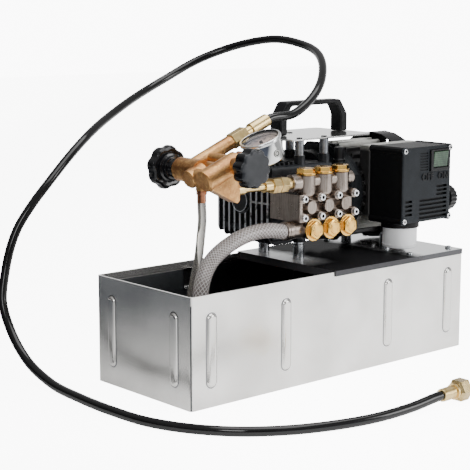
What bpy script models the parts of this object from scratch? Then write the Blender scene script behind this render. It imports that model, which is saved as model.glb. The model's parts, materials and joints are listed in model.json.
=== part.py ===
"""Electric pressure pump for filling and testing pipework: a tank with the motor pump on its deck.

Units are metres, +Z is up. The origin is the middle of the tank's underside. X runs along the tank
towards the motor's fan, Y runs away from the pump head's front face.
"""
import math

import bmesh
import bpy
from mathutils import Matrix, Vector

for old_object in list(bpy.data.objects):
    bpy.data.objects.remove(old_object)

# Clearances and shared sizes
SEAT_GAP = 0.0003
RUNNING_GAP = 0.0005
CUT_OVERRUN = 0.004
SINK = 0.003
EDGE_BREAK = 0.001

# Tank
TANK_LENGTH = 0.500
TANK_WIDTH = 0.190
TANK_HEIGHT = 0.140
TANK_WALL = 0.0012
TANK_CORNER_RADIUS = 0.004
HEM_THICKNESS = 0.0012
HEM_HEIGHT = 0.009
RIB_WIDTH = 0.012
RIB_RISE = 0.0015
RIB_LOW = 0.026
RIB_HIGH = 0.116
FRONT_RIB_SHARES = (-0.436, -0.189, 0.189, 0.436)
SIDE_RIB_SHARES = (-0.332, 0.332)

# Deck plate
DECK_LENGTH = 0.255
DECK_END_MARGIN = 0.003
DECK_THICKNESS = 0.0015
DECK_LIP_HEIGHT = 0.006
DECK_FLANGE_HEIGHT = 0.009
DECK_SCREW_EDGE = 0.0120
DECK_SCREW_SPACING = 0.0823
DECK_SCREW_SIDE = 0.01425
SCREW_SHANK_RADIUS = 0.0025
SCREW_HEAD_RADIUS = 0.0045
SCREW_HEAD_HEIGHT = 0.003
SCREW_LENGTH = 0.010

# Stand-off posts under the pump and the motor
POST_RADIUS = 0.008
POST_HEIGHT = 0.0226
POST_NECK_RADIUS = 0.0068
POST_NECK_HEIGHT = 0.003
PUMP_POST_INSET = 0.0565
PUMP_POST_FRONT_INSET = 0.007
PUMP_POST_SPACING = 0.070
MOTOR_POST_HEIGHT = 0.0146
MOTOR_POST_INSET = 0.0091
MOTOR_POST_SPREAD = 0.039

# Pump crankcase
CRANK_HEIGHT = 0.0802
CRANK_BACK_INSET = 0.044
CASE_DECK_INSET = 0.285
CASE_LENGTH = 0.114
CASE_FRONT_REACH = 0.057
CASE_DEPTH = 0.108
CASE_HEIGHT = 0.110
CASE_BOSS_RISE = 0.0065
CASE_BOSS_RADIUS = 0.008
CASE_TOP_RADIUS = 0.006
CASE_SUMP_RADIUS = 0.030
CASE_FIN_COUNT = 10
CASE_FIN_THICKNESS = 0.0028
CASE_FIN_RISE = 0.004
CASE_FIN_BEND = 0.014
CASE_FIN_FOOT = 0.045
TOP_FIN_COUNT = 6
TOP_FIN_PITCH = 0.0085
CASE_BEAD_LOW = 0.016
CASE_BEAD_HEIGHT = 0.007
CASE_BEAD_RISE = 0.0025
CASE_BELT_THICKNESS = 0.0026
CASE_FOOT_RADIUS = 0.0095
CASE_FOOT_HEIGHT = 0.014
BEARING_BOSS_RADIUS = 0.0185
END_COVER_RADIUS = 0.0155
END_COVER_THICKNESS = 0.0035
BELL_RADIUS = 0.060
BELL_LENGTH = 0.026
BELL_FLANGE_RADIUS = 0.070
BELL_FLANGE_THICKNESS = 0.006
REAR_COVER_MARGIN = 0.014
REAR_COVER_THICKNESS = 0.005
REAR_COVER_RADIUS = 0.010
FILLER_REACH = 0.0165
FILLER_INSET = 0.0045
FILLER_BOSS_RADIUS = 0.0085
FILLER_BOSS_TOP = 0.047
FILLER_CAP_RADIUS = 0.0072
FILLER_CAP_FLANGE = 0.0090
FILLER_CAP_HEIGHT = 0.020
FILLER_RIDGES = 10
DRAIN_INSET = 0.040
DRAIN_SETBACK = 0.011
DRAIN_RADIUS = 0.0065
DRAIN_HEIGHT = 0.008

# Pump head
HEAD_RIGHT_INSET = 0.0081
HEAD_PITCH = 0.0314
HEAD_LENGTH = 0.1088
HEAD_HEIGHT = 0.036
HEAD_FACE_REACH = 0.056
HEAD_RELIEF = 0.010
HEAD_SIDE_THICKNESS = 0.0055
SCREW_ROW_OFFSET = 0.01245
EAR_RADIUS = 0.0062
PLUNGER_BOSS_RADIUS = 0.0095
TOWER_RADIUS = 0.0125
TOWER_SETBACK = 0.0127
TOWER_TOP = 0.042
TOWER_FOOT = 0.012
DELIVERY_HEIGHT = 0.0323
GALLERY_RADIUS = 0.0095
PORT_RADIUS = 0.0115
PORT_REACH = 0.0045
SUCTION_DROP = 0.029
SUCTION_GALLERY_RADIUS = 0.012
SUCTION_BOSS_RADIUS = 0.0140
CAP_FLANGE_RADIUS = 0.0150
CAP_FLANGE_THICKNESS = 0.0025
CAP_HEX_RADIUS = 0.0122
CAP_HEX_HEIGHT = 0.0062
CAP_BUTTON_RADIUS = 0.0080
CAP_BUTTON_HEIGHT = 0.0010
TOP_CAP_FLANGE_RADIUS = 0.0135

# Motor
SHIELD_RADIUS = 0.070
SHIELD_LENGTH = 0.0195
SHIELD_STEP = 0.004
HOUSING_LENGTH = 0.084
HOUSING_ROOT_RADIUS = 0.064
FIN_TIP_RADIUS = 0.0695
FIN_COUNT = 28
HOUSING_FOOT_WIDTH = 0.016
HOUSING_FOOT_RISE = 0.024
END_BELL_RADIUS = 0.056
END_BELL_LENGTH = 0.010
COVER_LUG_WIDTH = 0.010
FAN_COVER_RADIUS = 0.078
FAN_COVER_LENGTH = 0.036
FAN_COVER_WALL = 0.0016
FAN_COVER_ROUND = 0.006
GRILLE_SLOTS = 16
GRILLE_SLOT_WIDTH = 0.0045
GRILLE_INNER_RADIUS = 0.022
GRILLE_OUTER_RADIUS = 0.064
SHAFT_RADIUS = 0.007
SHAFT_SINK = 0.008
FAN_HUB_RADIUS = 0.016
FAN_RADIUS = 0.062
FAN_BLADES = 8
FAN_BLADE_THICKNESS = 0.0018
FAN_WIDTH = 0.014

# Control box on the motor's side
BOX_INSET = 0.0009
BOX_LENGTH = 0.101
BOX_RISE = 0.0442
BOX_HEIGHT = 0.1045
BOX_REACH = 0.137
BOX_COVER_DEPTH = 0.061
BOX_BASE_DEPTH = 0.020
BOX_EDGE_RADIUS = 0.0025
BOX_SCREW_INSET = 0.0040
BOX_EAR_RADIUS = 0.0055
BOX_EAR_BORE = 0.0030
BOX_EAR_RECESS = 0.0015
CAPACITOR_INSET = 0.028
CAPACITOR_RADIUS = 0.024
CAPACITOR_CLEARANCE = 0.0085
CAPACITOR_LENGTH = 0.045
CAPACITOR_CUP_WALL = 0.0022
CAPACITOR_CUP_DROP = 0.007
VENT_DEPTH = 0.004
VENT_HEIGHT = 0.0033
LONG_VENT_SHARES = (0.356, 0.921, 0.043, 0.0574)
LONG_VENT_COUNT = 5
SHORT_VENT_SHARES = (0.703, 0.921, 0.335, 0.0526)
SHORT_VENT_COUNT = 3
LEFT_VENT_SHARES = (0.069, 0.208, 0.105, 0.0574)
LEFT_VENT_COUNT = 4
GRIP_STRIP_SHARES = (0.356, 0.515, 0.684, 0.0364)
GRIP_STRIP_COUNT = 7
GRIP_STRIP_HEIGHT = 0.0018
GRIP_STRIP_DEPTH = 0.0014
SWITCH_LEFT = 0.0560
SWITCH_BOTTOM = 0.0695
SWITCH_LENGTH = 0.038
SWITCH_HEIGHT = 0.030
SWITCH_FRAME_RISE = 0.0025
SWITCH_FRAME_SIDE = 0.0055
SWITCH_FRAME_EDGE = 0.0022
ROCKER_DEPTH = 0.008
ROCKER_RISE = 0.0022
ROCKER_ANGLE = math.radians(6)
GLAND_INSET = 0.018
GLAND_RISE = 0.0270
GLAND_RADIUS = 0.016
GLAND_NECK_RADIUS = 0.0135
GLAND_LENGTH = 0.0187
GLAND_BORE_RADIUS = 0.0050

# Top plate and carry handle
PLATE_INSET = 0.036
PLATE_LENGTH = 0.162
PLATE_DEPTH = 0.118
PLATE_THICKNESS = 0.0025
PLATE_CORNER_RADIUS = 0.008
PLATE_TAB_NEAR = 0.014
PLATE_TAB_WIDTH = 0.023
PLATE_TAB_DROP = 0.033
PLATE_TAB_NOTCH = 0.0045
PLATE_POST_RADIUS = 0.0065
PLATE_POST_HEIGHT = 0.0206
PLATE_POST_LEFT_INSET = 0.0585
PLATE_POST_RIGHT_INSET = 0.009
PLATE_POST_FRONT_INSET = 0.009
PLATE_POST_SPACING = 0.068
PLATE_MOTOR_CLEARANCE = 0.010
HANDLE_INSET = 0.022
HANDLE_LENGTH = 0.1315
HANDLE_DEPTH = 0.022
HANDLE_HEIGHT = 0.046
HANDLE_LEG = 0.0145
HANDLE_BAR = 0.0065
HANDLE_CHAMFER_RUN = 0.014
HANDLE_CHAMFER_DROP = 0.021
HANDLE_EDGE_RADIUS = 0.002

# Brass valve body, in its own tilted frame: along the tubes, across them (Y), and lift off their plane
VALVE_TILT = math.radians(22)
VALVE_REACH = 0.1457
VALVE_SETBACK = 0.0143
VALVE_END_RISE = 0.0135
FRONT_TUBE_RADIUS = 0.014
FRONT_TUBE_LENGTH = 0.060
BACK_TUBE_RADIUS = 0.012
BACK_TUBE_SPACING = 0.029
NECK_RADIUS = 0.0155
NECK_ALONG = 0.024
NECK_LENGTH = 0.047
LINK_RADIUS = 0.008
NEAR_LINK_ALONG = 0.036
FAR_LINK_ALONG = 0.061
FAR_LINK_LIFT = -0.002
OUTLET_TUBE_RADIUS = 0.0095
OUTLET_TUBE_SPACING = 0.0595
OUTLET_TUBE_END = 0.104
WEB_THICKNESS = 0.016
WEB_LENGTH = 0.0531
WEB_DROP = 0.0160
WEB_LEFT_RISE = 0.0040
WEB_LEFT_INSET = 0.009
WEB_CORNER = 0.004
VALVE_FOOT_RADIUS = 0.0105
VALVE_FOOT_ALONG = 0.011
BARB_INSET = 0.0095
BARB_SPACING = 0.014
BARB_BOSS_RADIUS = 0.0075
BARB_BOSS_BOTTOM = 0.0340
BARB_RADIUS = 0.0058
BARB_LENGTH = 0.015

# Regulator and shut-off spindles and knobs
REGULATOR_SPINDLE_RADIUS = 0.005
REGULATOR_BORE_DEPTH = 0.014
REGULATOR_SPINDLE_SINK = 0.007
REGULATOR_KNOB_GAP = 0.0175
REGULATOR_KNOB_RADIUS = 0.0285
REGULATOR_KNOB_THICKNESS = 0.0135
REGULATOR_LOBES = 8
REGULATOR_LOBE_SHARE = 0.045
SHUTOFF_ALONG = 0.047
BONNET_RADIUS = 0.0110
BONNET_LENGTH = 0.0295
SHUTOFF_SPINDLE_RADIUS = 0.0045
SHUTOFF_BORE_DEPTH = 0.012
SHUTOFF_SPINDLE_SINK = 0.007
SHUTOFF_KNOB_GAP = 0.0045
SHUTOFF_KNOB_RADIUS = 0.0255
SHUTOFF_KNOB_THICKNESS = 0.016
SHUTOFF_LOBES = 10
SHUTOFF_LOBE_SHARE = 0.035
KNOB_EDGE = 0.003
KNOB_DISH_SHARE = 0.55
KNOB_DISH_DEPTH = 0.0015

# Pressure gauge
GAUGE_ALONG = 0.120
GAUGE_SPACING = 0.019
GAUGE_CASE_RADIUS = 0.0250
GAUGE_CASE_DEPTH = 0.021
GAUGE_WELL_RADIUS = 0.0230
GAUGE_WELL_DEPTH = 0.0070
GAUGE_BEZEL_RADIUS = 0.0275
GAUGE_CASE_LIFT = -0.0005
GAUGE_BEZEL_LIP = 0.0219
GAUGE_BEZEL_DEPTH = 0.0028
GAUGE_BEZEL_RISE = 0.0022
GAUGE_DIAL_THICKNESS = 0.0010
GAUGE_LENS_THICKNESS = 0.0012
POINTER_LENGTH = 0.0165
POINTER_TAIL = 0.0060
POINTER_WIDTH = 0.0016
POINTER_THICKNESS = 0.0008
POINTER_HUB_RADIUS = 0.0024
POINTER_TURN = math.radians(-135)
GAUGE_STEM_LIFT = -0.0078
GAUGE_STEM_RADIUS = 0.0045
GAUGE_NUT_RADIUS = 0.0096
GAUGE_NUT_NEAR = 0.071
GAUGE_NUT_LENGTH = 0.013
GAUGE_BOSS_RADIUS = 0.0088

# Pipe fittings
DELIVERY_PIPE_RADIUS = 0.0052
DELIVERY_HEX_RADIUS = 0.0105
DELIVERY_COLLAR_RADIUS = 0.0078
DELIVERY_STATION_SHARES = (0.08, 0.36, 0.50, 0.88)
OUTLET_HEX_RADIUS = 0.0112
OUTLET_HEX_LENGTH = 0.026
OUTLET_SLEEVE_RADIUS = 0.0068
OUTLET_SLEEVE_LENGTH = 0.010
FERRULE_RADIUS = 0.0088
FERRULE_LENGTH = 0.032
FAR_FERRULE_RADIUS = 0.0082
FAR_FERRULE_LENGTH = 0.022
FAR_COLLAR_RADIUS = 0.0105
FAR_COLLAR_LENGTH = 0.003
SPIGOT_RADIUS = 0.0062
SPIGOT_LENGTH = 0.010
SWIVEL_NUT_RADIUS = 0.0145
SWIVEL_NUT_LENGTH = 0.018
SWIVEL_NUT_BORE = 0.0105
SWIVEL_NUT_SKIRT = 0.006
SUCTION_TAIL_RADIUS = 0.0128
SUCTION_TAIL_LENGTH = 0.007
SUCTION_CLAMP_RADIUS = 0.0120
SUCTION_CLAMP_LENGTH = 0.0035
STRAINER_RADIUS = 0.0150
STRAINER_LENGTH = 0.040
STRAINER_SOCKET_RADIUS = 0.0120
STRAINER_SLOTS = 6
STRAINER_SLOT_WIDTH = 0.0040

# Hoses: diameters and the points that their middle lines pass through, in metres
TEST_HOSE_RADIUS = 0.0060
SUCTION_HOSE_RADIUS = 0.0100
RETURN_HOSE_RADIUS = 0.0055
HOSE_POINT_DIAMETERS = 3.0
SUCTION_HOSE_POINTS = (
    (-0.0740, -0.0460, 0.1958),
    (-0.0960, -0.0460, 0.1970),
    (-0.1164, -0.0460, 0.1948),
    (-0.1357, -0.0460, 0.1899),
    (-0.1506, -0.0460, 0.1842),
    (-0.1648, -0.0460, 0.1768),
    (-0.1755, -0.0460, 0.1690),
    (-0.1838, -0.0460, 0.1590),
    (-0.1900, -0.0460, 0.1465),
    (-0.1945, -0.0460, 0.1255),
    (-0.1960, -0.0460, 0.1020),
    (-0.1962, -0.0460, 0.0800),
)
RETURN_HOSE_POINTS = (
    (-0.1808, -0.0340, 0.2200),
    (-0.1820, -0.0320, 0.1945),
    (-0.1828, -0.0285, 0.1695),
    (-0.1853, -0.0240, 0.1450),
    (-0.1868, -0.0190, 0.1240),
    (-0.1875, -0.0140, 0.1000),
    (-0.1880, -0.0100, 0.0700),
)
SUCTION_HOSE_END = (-0.1962, -0.0460, 0.0620)
RETURN_HOSE_END = (-0.1880, -0.0080, 0.0350)
TEST_HOSE_POINTS = (
    (0.0150, 0.0113, 0.3372),
    (0.0515, 0.0195, 0.3508),
    (0.0874, 0.0345, 0.3702),
    (0.1225, 0.0625, 0.3925),
    (0.1554, 0.1050, 0.4122),
    (0.1801, 0.1657, 0.4250),
    (0.1836, 0.2351, 0.4312),
    (0.1599, 0.2933, 0.4202),
    (0.1177, 0.3288, 0.4001),
    (0.0569, 0.3408, 0.3707),
    (-0.0564, 0.3060, 0.3323),
    (-0.1845, 0.2404, 0.2821),
    (-0.2367, 0.2272, 0.2422),
    (-0.2591, 0.2269, 0.2197),
    (-0.2844, 0.2293, 0.1853),
    (-0.3066, 0.2269, 0.1261),
    (-0.3149, 0.2203, 0.0947),
    (-0.3170, 0.1977, 0.0573),
    (-0.3178, 0.1618, 0.0273),
    (-0.3215, 0.1033, 0.0096),
    (-0.3275, 0.0240, 0.0062),
    (-0.3290, -0.0490, 0.0062),
    (-0.3230, -0.1070, 0.0062),
    (-0.3010, -0.1600, 0.0062),
    (-0.2680, -0.2020, 0.0062),
    (-0.2240, -0.2340, 0.0062),
    (-0.1720, -0.2560, 0.0062),
    (-0.1130, -0.2690, 0.0064),
    (-0.0560, -0.2740, 0.0090),
)
TEST_HOSE_END = (-0.0060, -0.2755, 0.0138)
TEST_HOSE_END_HEADING = (1.0, -0.02, 0.03)

# Places that follow from the sizes above
DECK_UNDERSIDE = TANK_HEIGHT + SEAT_GAP
DECK_TOP = DECK_UNDERSIDE + DECK_THICKNESS
DECK_RIGHT = TANK_LENGTH / 2 - DECK_END_MARGIN
DECK_LEFT = DECK_RIGHT - DECK_LENGTH
CRANK_Y = TANK_WIDTH / 2 - CRANK_BACK_INSET
CRANK_Z = DECK_TOP + CRANK_HEIGHT
CASE_LEFT = DECK_RIGHT - CASE_DECK_INSET
CASE_RIGHT = CASE_LEFT + CASE_LENGTH
CASE_FRONT = CRANK_Y - CASE_FRONT_REACH
CASE_BACK = CASE_FRONT + CASE_DEPTH
CASE_BOTTOM = DECK_TOP + SEAT_GAP + POST_HEIGHT + SEAT_GAP
CASE_TOP = CASE_BOTTOM + CASE_HEIGHT
CASE_BOSS_TOP = CASE_TOP + CASE_BOSS_RISE
PUMP_POST_X = CASE_LEFT + PUMP_POST_INSET
PUMP_POST_YS = [CASE_FRONT + PUMP_POST_FRONT_INSET + PUMP_POST_SPACING * step for step in (0, 1)]
FILLER_X = CASE_RIGHT + FILLER_REACH
FILLER_Y = CASE_FRONT + FILLER_INSET
DRAIN_X = CASE_LEFT + DRAIN_INSET
DRAIN_Y = CRANK_Y + DRAIN_SETBACK
BELL_END = CASE_RIGHT + BELL_LENGTH + BELL_FLANGE_THICKNESS
SHIELD_START = BELL_END + SEAT_GAP
HOUSING_START = SHIELD_START + SHIELD_LENGTH + SEAT_GAP
HOUSING_END = HOUSING_START + HOUSING_LENGTH
MOTOR_POST_X = HOUSING_END - MOTOR_POST_INSET
FAN_COVER_START = HOUSING_END + SEAT_GAP
FAN_COVER_END = FAN_COVER_START + FAN_COVER_LENGTH
HEAD_BACK = CASE_FRONT - SEAT_GAP
HEAD_FACE = HEAD_BACK - HEAD_FACE_REACH
HEAD_RIGHT = CASE_RIGHT - HEAD_RIGHT_INSET
HEAD_LEFT = HEAD_RIGHT - HEAD_LENGTH
HEAD_CENTRE_X = HEAD_RIGHT - HEAD_LENGTH / 2
PLUNGER_XS = [HEAD_CENTRE_X + HEAD_PITCH * share for share in (-1, 0, 1)]
SCREW_XS = [HEAD_CENTRE_X + HEAD_PITCH * share for share in (-1.5, -0.5, 0.5, 1.5)]
TOWER_Y = HEAD_FACE + TOWER_SETBACK
DELIVERY_Z = CRANK_Z + DELIVERY_HEIGHT
SUCTION_Z = CRANK_Z - SUCTION_DROP
PORT_X = HEAD_LEFT - PORT_REACH
BOX_LEFT = HOUSING_START + BOX_INSET
BOX_RIGHT = BOX_LEFT + BOX_LENGTH
BOX_FRONT = CRANK_Y - BOX_REACH
BOX_BACK = BOX_FRONT + BOX_COVER_DEPTH
BOX_BOTTOM = DECK_TOP + BOX_RISE
BOX_TOP = BOX_BOTTOM + BOX_HEIGHT
CAPACITOR_X = BOX_LEFT + CAPACITOR_INSET
CAPACITOR_Y = BOX_FRONT + CAPACITOR_INSET
GLAND_Y = BOX_FRONT + GLAND_INSET
PLATE_LEFT = CASE_LEFT + PLATE_INSET
PLATE_FRONT = CASE_FRONT
PLATE_POST_XS = (CASE_LEFT + PLATE_POST_LEFT_INSET, CASE_RIGHT - PLATE_POST_RIGHT_INSET)
PLATE_POST_YS = [CASE_FRONT + PLATE_POST_FRONT_INSET + PLATE_POST_SPACING * step for step in (0, 1)]
# The plate rests on its posts, and those are longer where the motor is the taller of the two
PLATE_BOTTOM = max(
    CASE_BOSS_TOP + SEAT_GAP + PLATE_POST_HEIGHT + SEAT_GAP,
    CRANK_Z + FIN_TIP_RADIUS + PLATE_MOTOR_CLEARANCE,
)
PLATE_TOP = PLATE_BOTTOM + PLATE_THICKNESS
HANDLE_LEFT = PLATE_LEFT + HANDLE_INSET
HANDLE_FRONT = CRANK_Y - HANDLE_DEPTH / 2
VALVE_END_X = PORT_X - VALVE_REACH
VALVE_END_Y = HEAD_FACE + VALVE_SETBACK
VALVE_END_Z = DELIVERY_Z + VALVE_END_RISE
BACK_TUBE_Y = VALVE_END_Y + BACK_TUBE_SPACING
NECK_END_Y = BACK_TUBE_Y + NECK_LENGTH
OUTLET_TUBE_Y = VALVE_END_Y + OUTLET_TUBE_SPACING
BONNET_END_Y = VALVE_END_Y - BONNET_LENGTH
WEB_RIGHT_X = VALVE_END_X + WEB_LENGTH
BARB_X = VALVE_END_X + BARB_INSET
BARB_Y = VALVE_END_Y + BARB_SPACING
GAUGE_Y = VALVE_END_Y + GAUGE_SPACING

# Colours
MATERIALS = {
    "stainless_sheet": ((0.62, 0.62, 0.60), 1.0, 0.32),
    "polished_deck": ((0.55, 0.56, 0.56), 1.0, 0.12),
    "zinc_post": ((0.50, 0.52, 0.54), 1.0, 0.28),
    "screw_steel": ((0.45, 0.46, 0.47), 1.0, 0.35),
    "dark_cast_aluminium": ((0.055, 0.060, 0.068), 0.6, 0.5),
    "nickel_brass": ((0.36, 0.31, 0.26), 1.0, 0.36),
    "cap_brass": ((0.72, 0.50, 0.20), 1.0, 0.26),
    "valve_brass": ((0.62, 0.40, 0.19), 1.0, 0.38),
    "copper_brass": ((0.55, 0.27, 0.16), 1.0, 0.35),
    "light_aluminium": ((0.52, 0.51, 0.47), 0.7, 0.5),
    "black_plastic": ((0.018, 0.018, 0.020), 0.0, 0.42),
    "charcoal_plastic": ((0.035, 0.036, 0.040), 0.0, 0.55),
    "white_plastic": ((0.78, 0.78, 0.76), 0.0, 0.4),
    "pale_steel": ((0.68, 0.69, 0.69), 1.0, 0.2),
    "dial_enamel": ((0.80, 0.78, 0.73), 0.0, 0.5),
    "clear_lens": ((0.90, 0.93, 0.93), 0.0, 0.05),
    "switch_green": ((0.16, 0.22, 0.14), 0.0, 0.2),
    "clear_hose": ((0.62, 0.58, 0.50), 0.0, 0.3),
    "braided_hose": ((0.55, 0.52, 0.47), 0.0, 0.4),
    "black_rubber": ((0.014, 0.014, 0.015), 0.0, 0.35),
    "amber_plug": ((0.80, 0.38, 0.05), 0.0, 0.35),
    "steel_shaft": ((0.42, 0.42, 0.43), 1.0, 0.3),
}


def coloured(name):
    colour, metallic, roughness = MATERIALS[name]
    made = bpy.data.materials.get(name)
    if made is None:
        made = bpy.data.materials.new(name)
        made.use_nodes = True
        shader = made.node_tree.nodes["Principled BSDF"]
        shader.inputs["Base Color"].default_value = (*colour, 1.0)
        shader.inputs["Metallic"].default_value = metallic
        shader.inputs["Roughness"].default_value = roughness
        made.diffuse_color = (*colour, 1.0)
    return made


def named(piece, name, material, origin=None):
    """Names a finished piece, gives it its material and moves its own origin, say onto a joint's axis."""
    piece.name = name
    piece.data.name = name
    piece.data.materials.clear()
    piece.data.materials.append(coloured(material))
    if origin is not None:
        piece.data.transform(Matrix.Translation(-Vector(origin)))
        piece.location = Vector(origin)
    return piece


def solid(vertices, faces):
    mesh = bpy.data.meshes.new("solid")
    mesh.from_pydata(vertices, [], faces)
    shape = bmesh.new()
    shape.from_mesh(mesh)
    bmesh.ops.recalc_face_normals(shape, faces=shape.faces)
    shape.to_mesh(mesh)
    shape.free()
    piece = bpy.data.objects.new("solid", mesh)
    bpy.context.collection.objects.link(piece)
    return piece


def prism(outline, axis, low, high):
    """An outline drawn across an axis and drawn out along it: Y and Z for X, X and Z for Y, X and Y for Z."""
    places = {
        "X": lambda a, b, c: (c, a, b),
        "Y": lambda a, b, c: (a, c, b),
        "Z": lambda a, b, c: (a, b, c),
    }
    place = places[axis]
    count = len(outline)
    vertices = [place(a, b, low) for a, b in outline] + [place(a, b, high) for a, b in outline]
    faces = [tuple(range(count)), tuple(range(count, count + count))]
    for i in range(count):
        j = (i + 1) % count
        faces.append((i, j, count + j, count + i))
    return solid(vertices, faces)


def box(low, high):
    outline = ((low[0], low[1]), (high[0], low[1]), (high[0], high[1]), (low[0], high[1]))
    return prism(outline, "Z", low[2], high[2])


def rounded(corners, radii, steps=2):
    """The same outline with an arc in each corner; radii is one radius, or one for each corner."""
    if not isinstance(radii, (list, tuple)):
        radii = [radii] * len(corners)
    points = []
    for i, corner in enumerate(corners):
        here = Vector(corner)
        before = (Vector(corners[i - 1]) - here).normalized()
        after = (Vector(corners[(i + 1) % len(corners)]) - here).normalized()
        if radii[i] == 0:
            points.append(tuple(here))
            continue
        half = before.angle(after) / 2
        reach = radii[i] / math.tan(half)
        middle = here + (before + after).normalized() * radii[i] / math.sin(half)
        first = here + before * reach - middle
        last = here + after * reach - middle
        for step in range(steps + 1):
            points.append(tuple(middle + first.lerp(last, step / steps).normalized() * radii[i]))
    return points


def rectangle(left, low, right, high):
    return ((left, low), (right, low), (right, high), (left, high))


def stadium(left, low, right, high, steps=2):
    radius = min(right - left, high - low) / 2 * 0.96
    return rounded(rectangle(left, low, right, high), radius, steps)


def cross_axes(direction):
    direction = Vector(direction).normalized()
    across = Vector((0, 0, 1)).cross(direction)
    if across.length < 0.1:
        across = Vector((1, 0, 0))
    across.normalize()
    return direction, across, direction.cross(across)


def turned(profile, start, direction, sides=16, turn=0.0, hollow=False, waves=None):
    """A turned shape; its profile lists distances along and radii, and waves gives a share round the turn."""
    start = Vector(start)
    direction, across, upright = cross_axes(direction)
    vertices = []
    rings = []
    for along, radius in profile:
        middle = start + direction * along
        if radius == 0:
            rings.append([len(vertices)])
            vertices.append(middle)
            continue
        rings.append(list(range(len(vertices), len(vertices) + sides)))
        for i in range(sides):
            angle = turn + math.tau * i / sides
            reach = radius * (waves(angle) if waves else 1)
            vertices.append(middle + (across * math.cos(angle) + upright * math.sin(angle)) * reach)
    faces = []
    pairs = list(zip(rings, rings[1:]))
    if hollow:
        pairs.append((rings[-1], rings[0]))
    for one, two in pairs:
        for i in range(sides):
            j = (i + 1) % sides
            corners = [one[i % len(one)], one[j % len(one)], two[j % len(two)], two[i % len(two)]]
            corners = list(dict.fromkeys(corners))
            if len(corners) > 2:
                faces.append(tuple(corners))
    if not hollow:
        for ring in (rings[0], rings[-1]):
            if len(ring) > 1:
                faces.append(tuple(ring))
    return solid([tuple(v) for v in vertices], faces)


def rod(start, end, radius, sides=16, turn=0.0):
    span = Vector(end) - Vector(start)
    return turned(((0, radius), (span.length, radius)), start, span, sides, turn)


def broken_rod(start, end, radius, edge=EDGE_BREAK, sides=16, turn=0.0):
    """A rod with a small chamfer round its far end."""
    span = Vector(end) - Vector(start)
    profile = ((0, radius), (span.length - edge, radius), (span.length, radius - edge))
    return turned(profile, start, span, sides, turn)


def boolean(base, tool, operation):
    modifier = base.modifiers.new("boolean", "BOOLEAN")
    modifier.operation = operation
    modifier.solver = "EXACT"
    modifier.object = tool
    bpy.context.view_layer.update()
    graph = bpy.context.evaluated_depsgraph_get()
    mesh = bpy.data.meshes.new_from_object(base.evaluated_get(graph))
    base.modifiers.clear()
    base.data = mesh
    bpy.data.objects.remove(tool)


def join(base, *tools):
    for tool in tools:
        boolean(base, tool, "UNION")
    return base


def cut(base, *tools):
    for tool in tools:
        boolean(base, tool, "DIFFERENCE")
    return base


def kept_common(base, tool):
    boolean(base, tool, "INTERSECT")
    return base


def group(pieces):
    """Several separate shapes as one mesh, to cut or join them in one go."""
    shape = bmesh.new()
    for piece in pieces:
        shape.from_mesh(piece.data)
        bpy.data.objects.remove(piece)
    mesh = bpy.data.meshes.new("group")
    shape.to_mesh(mesh)
    shape.free()
    grouped = bpy.data.objects.new("group", mesh)
    bpy.context.collection.objects.link(grouped)
    return grouped


def softened(piece, width, segments=2, angle=math.radians(40)):
    modifier = piece.modifiers.new("bevel", "BEVEL")
    modifier.width = width
    modifier.segments = segments
    modifier.limit_method = "ANGLE"
    modifier.angle_limit = angle
    modifier.use_clamp_overlap = True
    bpy.context.view_layer.update()
    graph = bpy.context.evaluated_depsgraph_get()
    mesh = bpy.data.meshes.new_from_object(piece.evaluated_get(graph))
    piece.modifiers.clear()
    piece.data = mesh
    return piece


def on_valve(along, y, lift=0):
    """A point in the valve body's own frame: along its tubes, at a world Y, and lifted off their plane."""
    return Vector((VALVE_END_X, y, VALVE_END_Z)) + VALVE_ALONG * along + VALVE_LIFT * lift


VALVE_ALONG = Vector((math.cos(VALVE_TILT), 0, math.sin(VALVE_TILT)))
VALVE_LIFT = Vector((-math.sin(VALVE_TILT), 0, math.cos(VALVE_TILT)))


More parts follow.
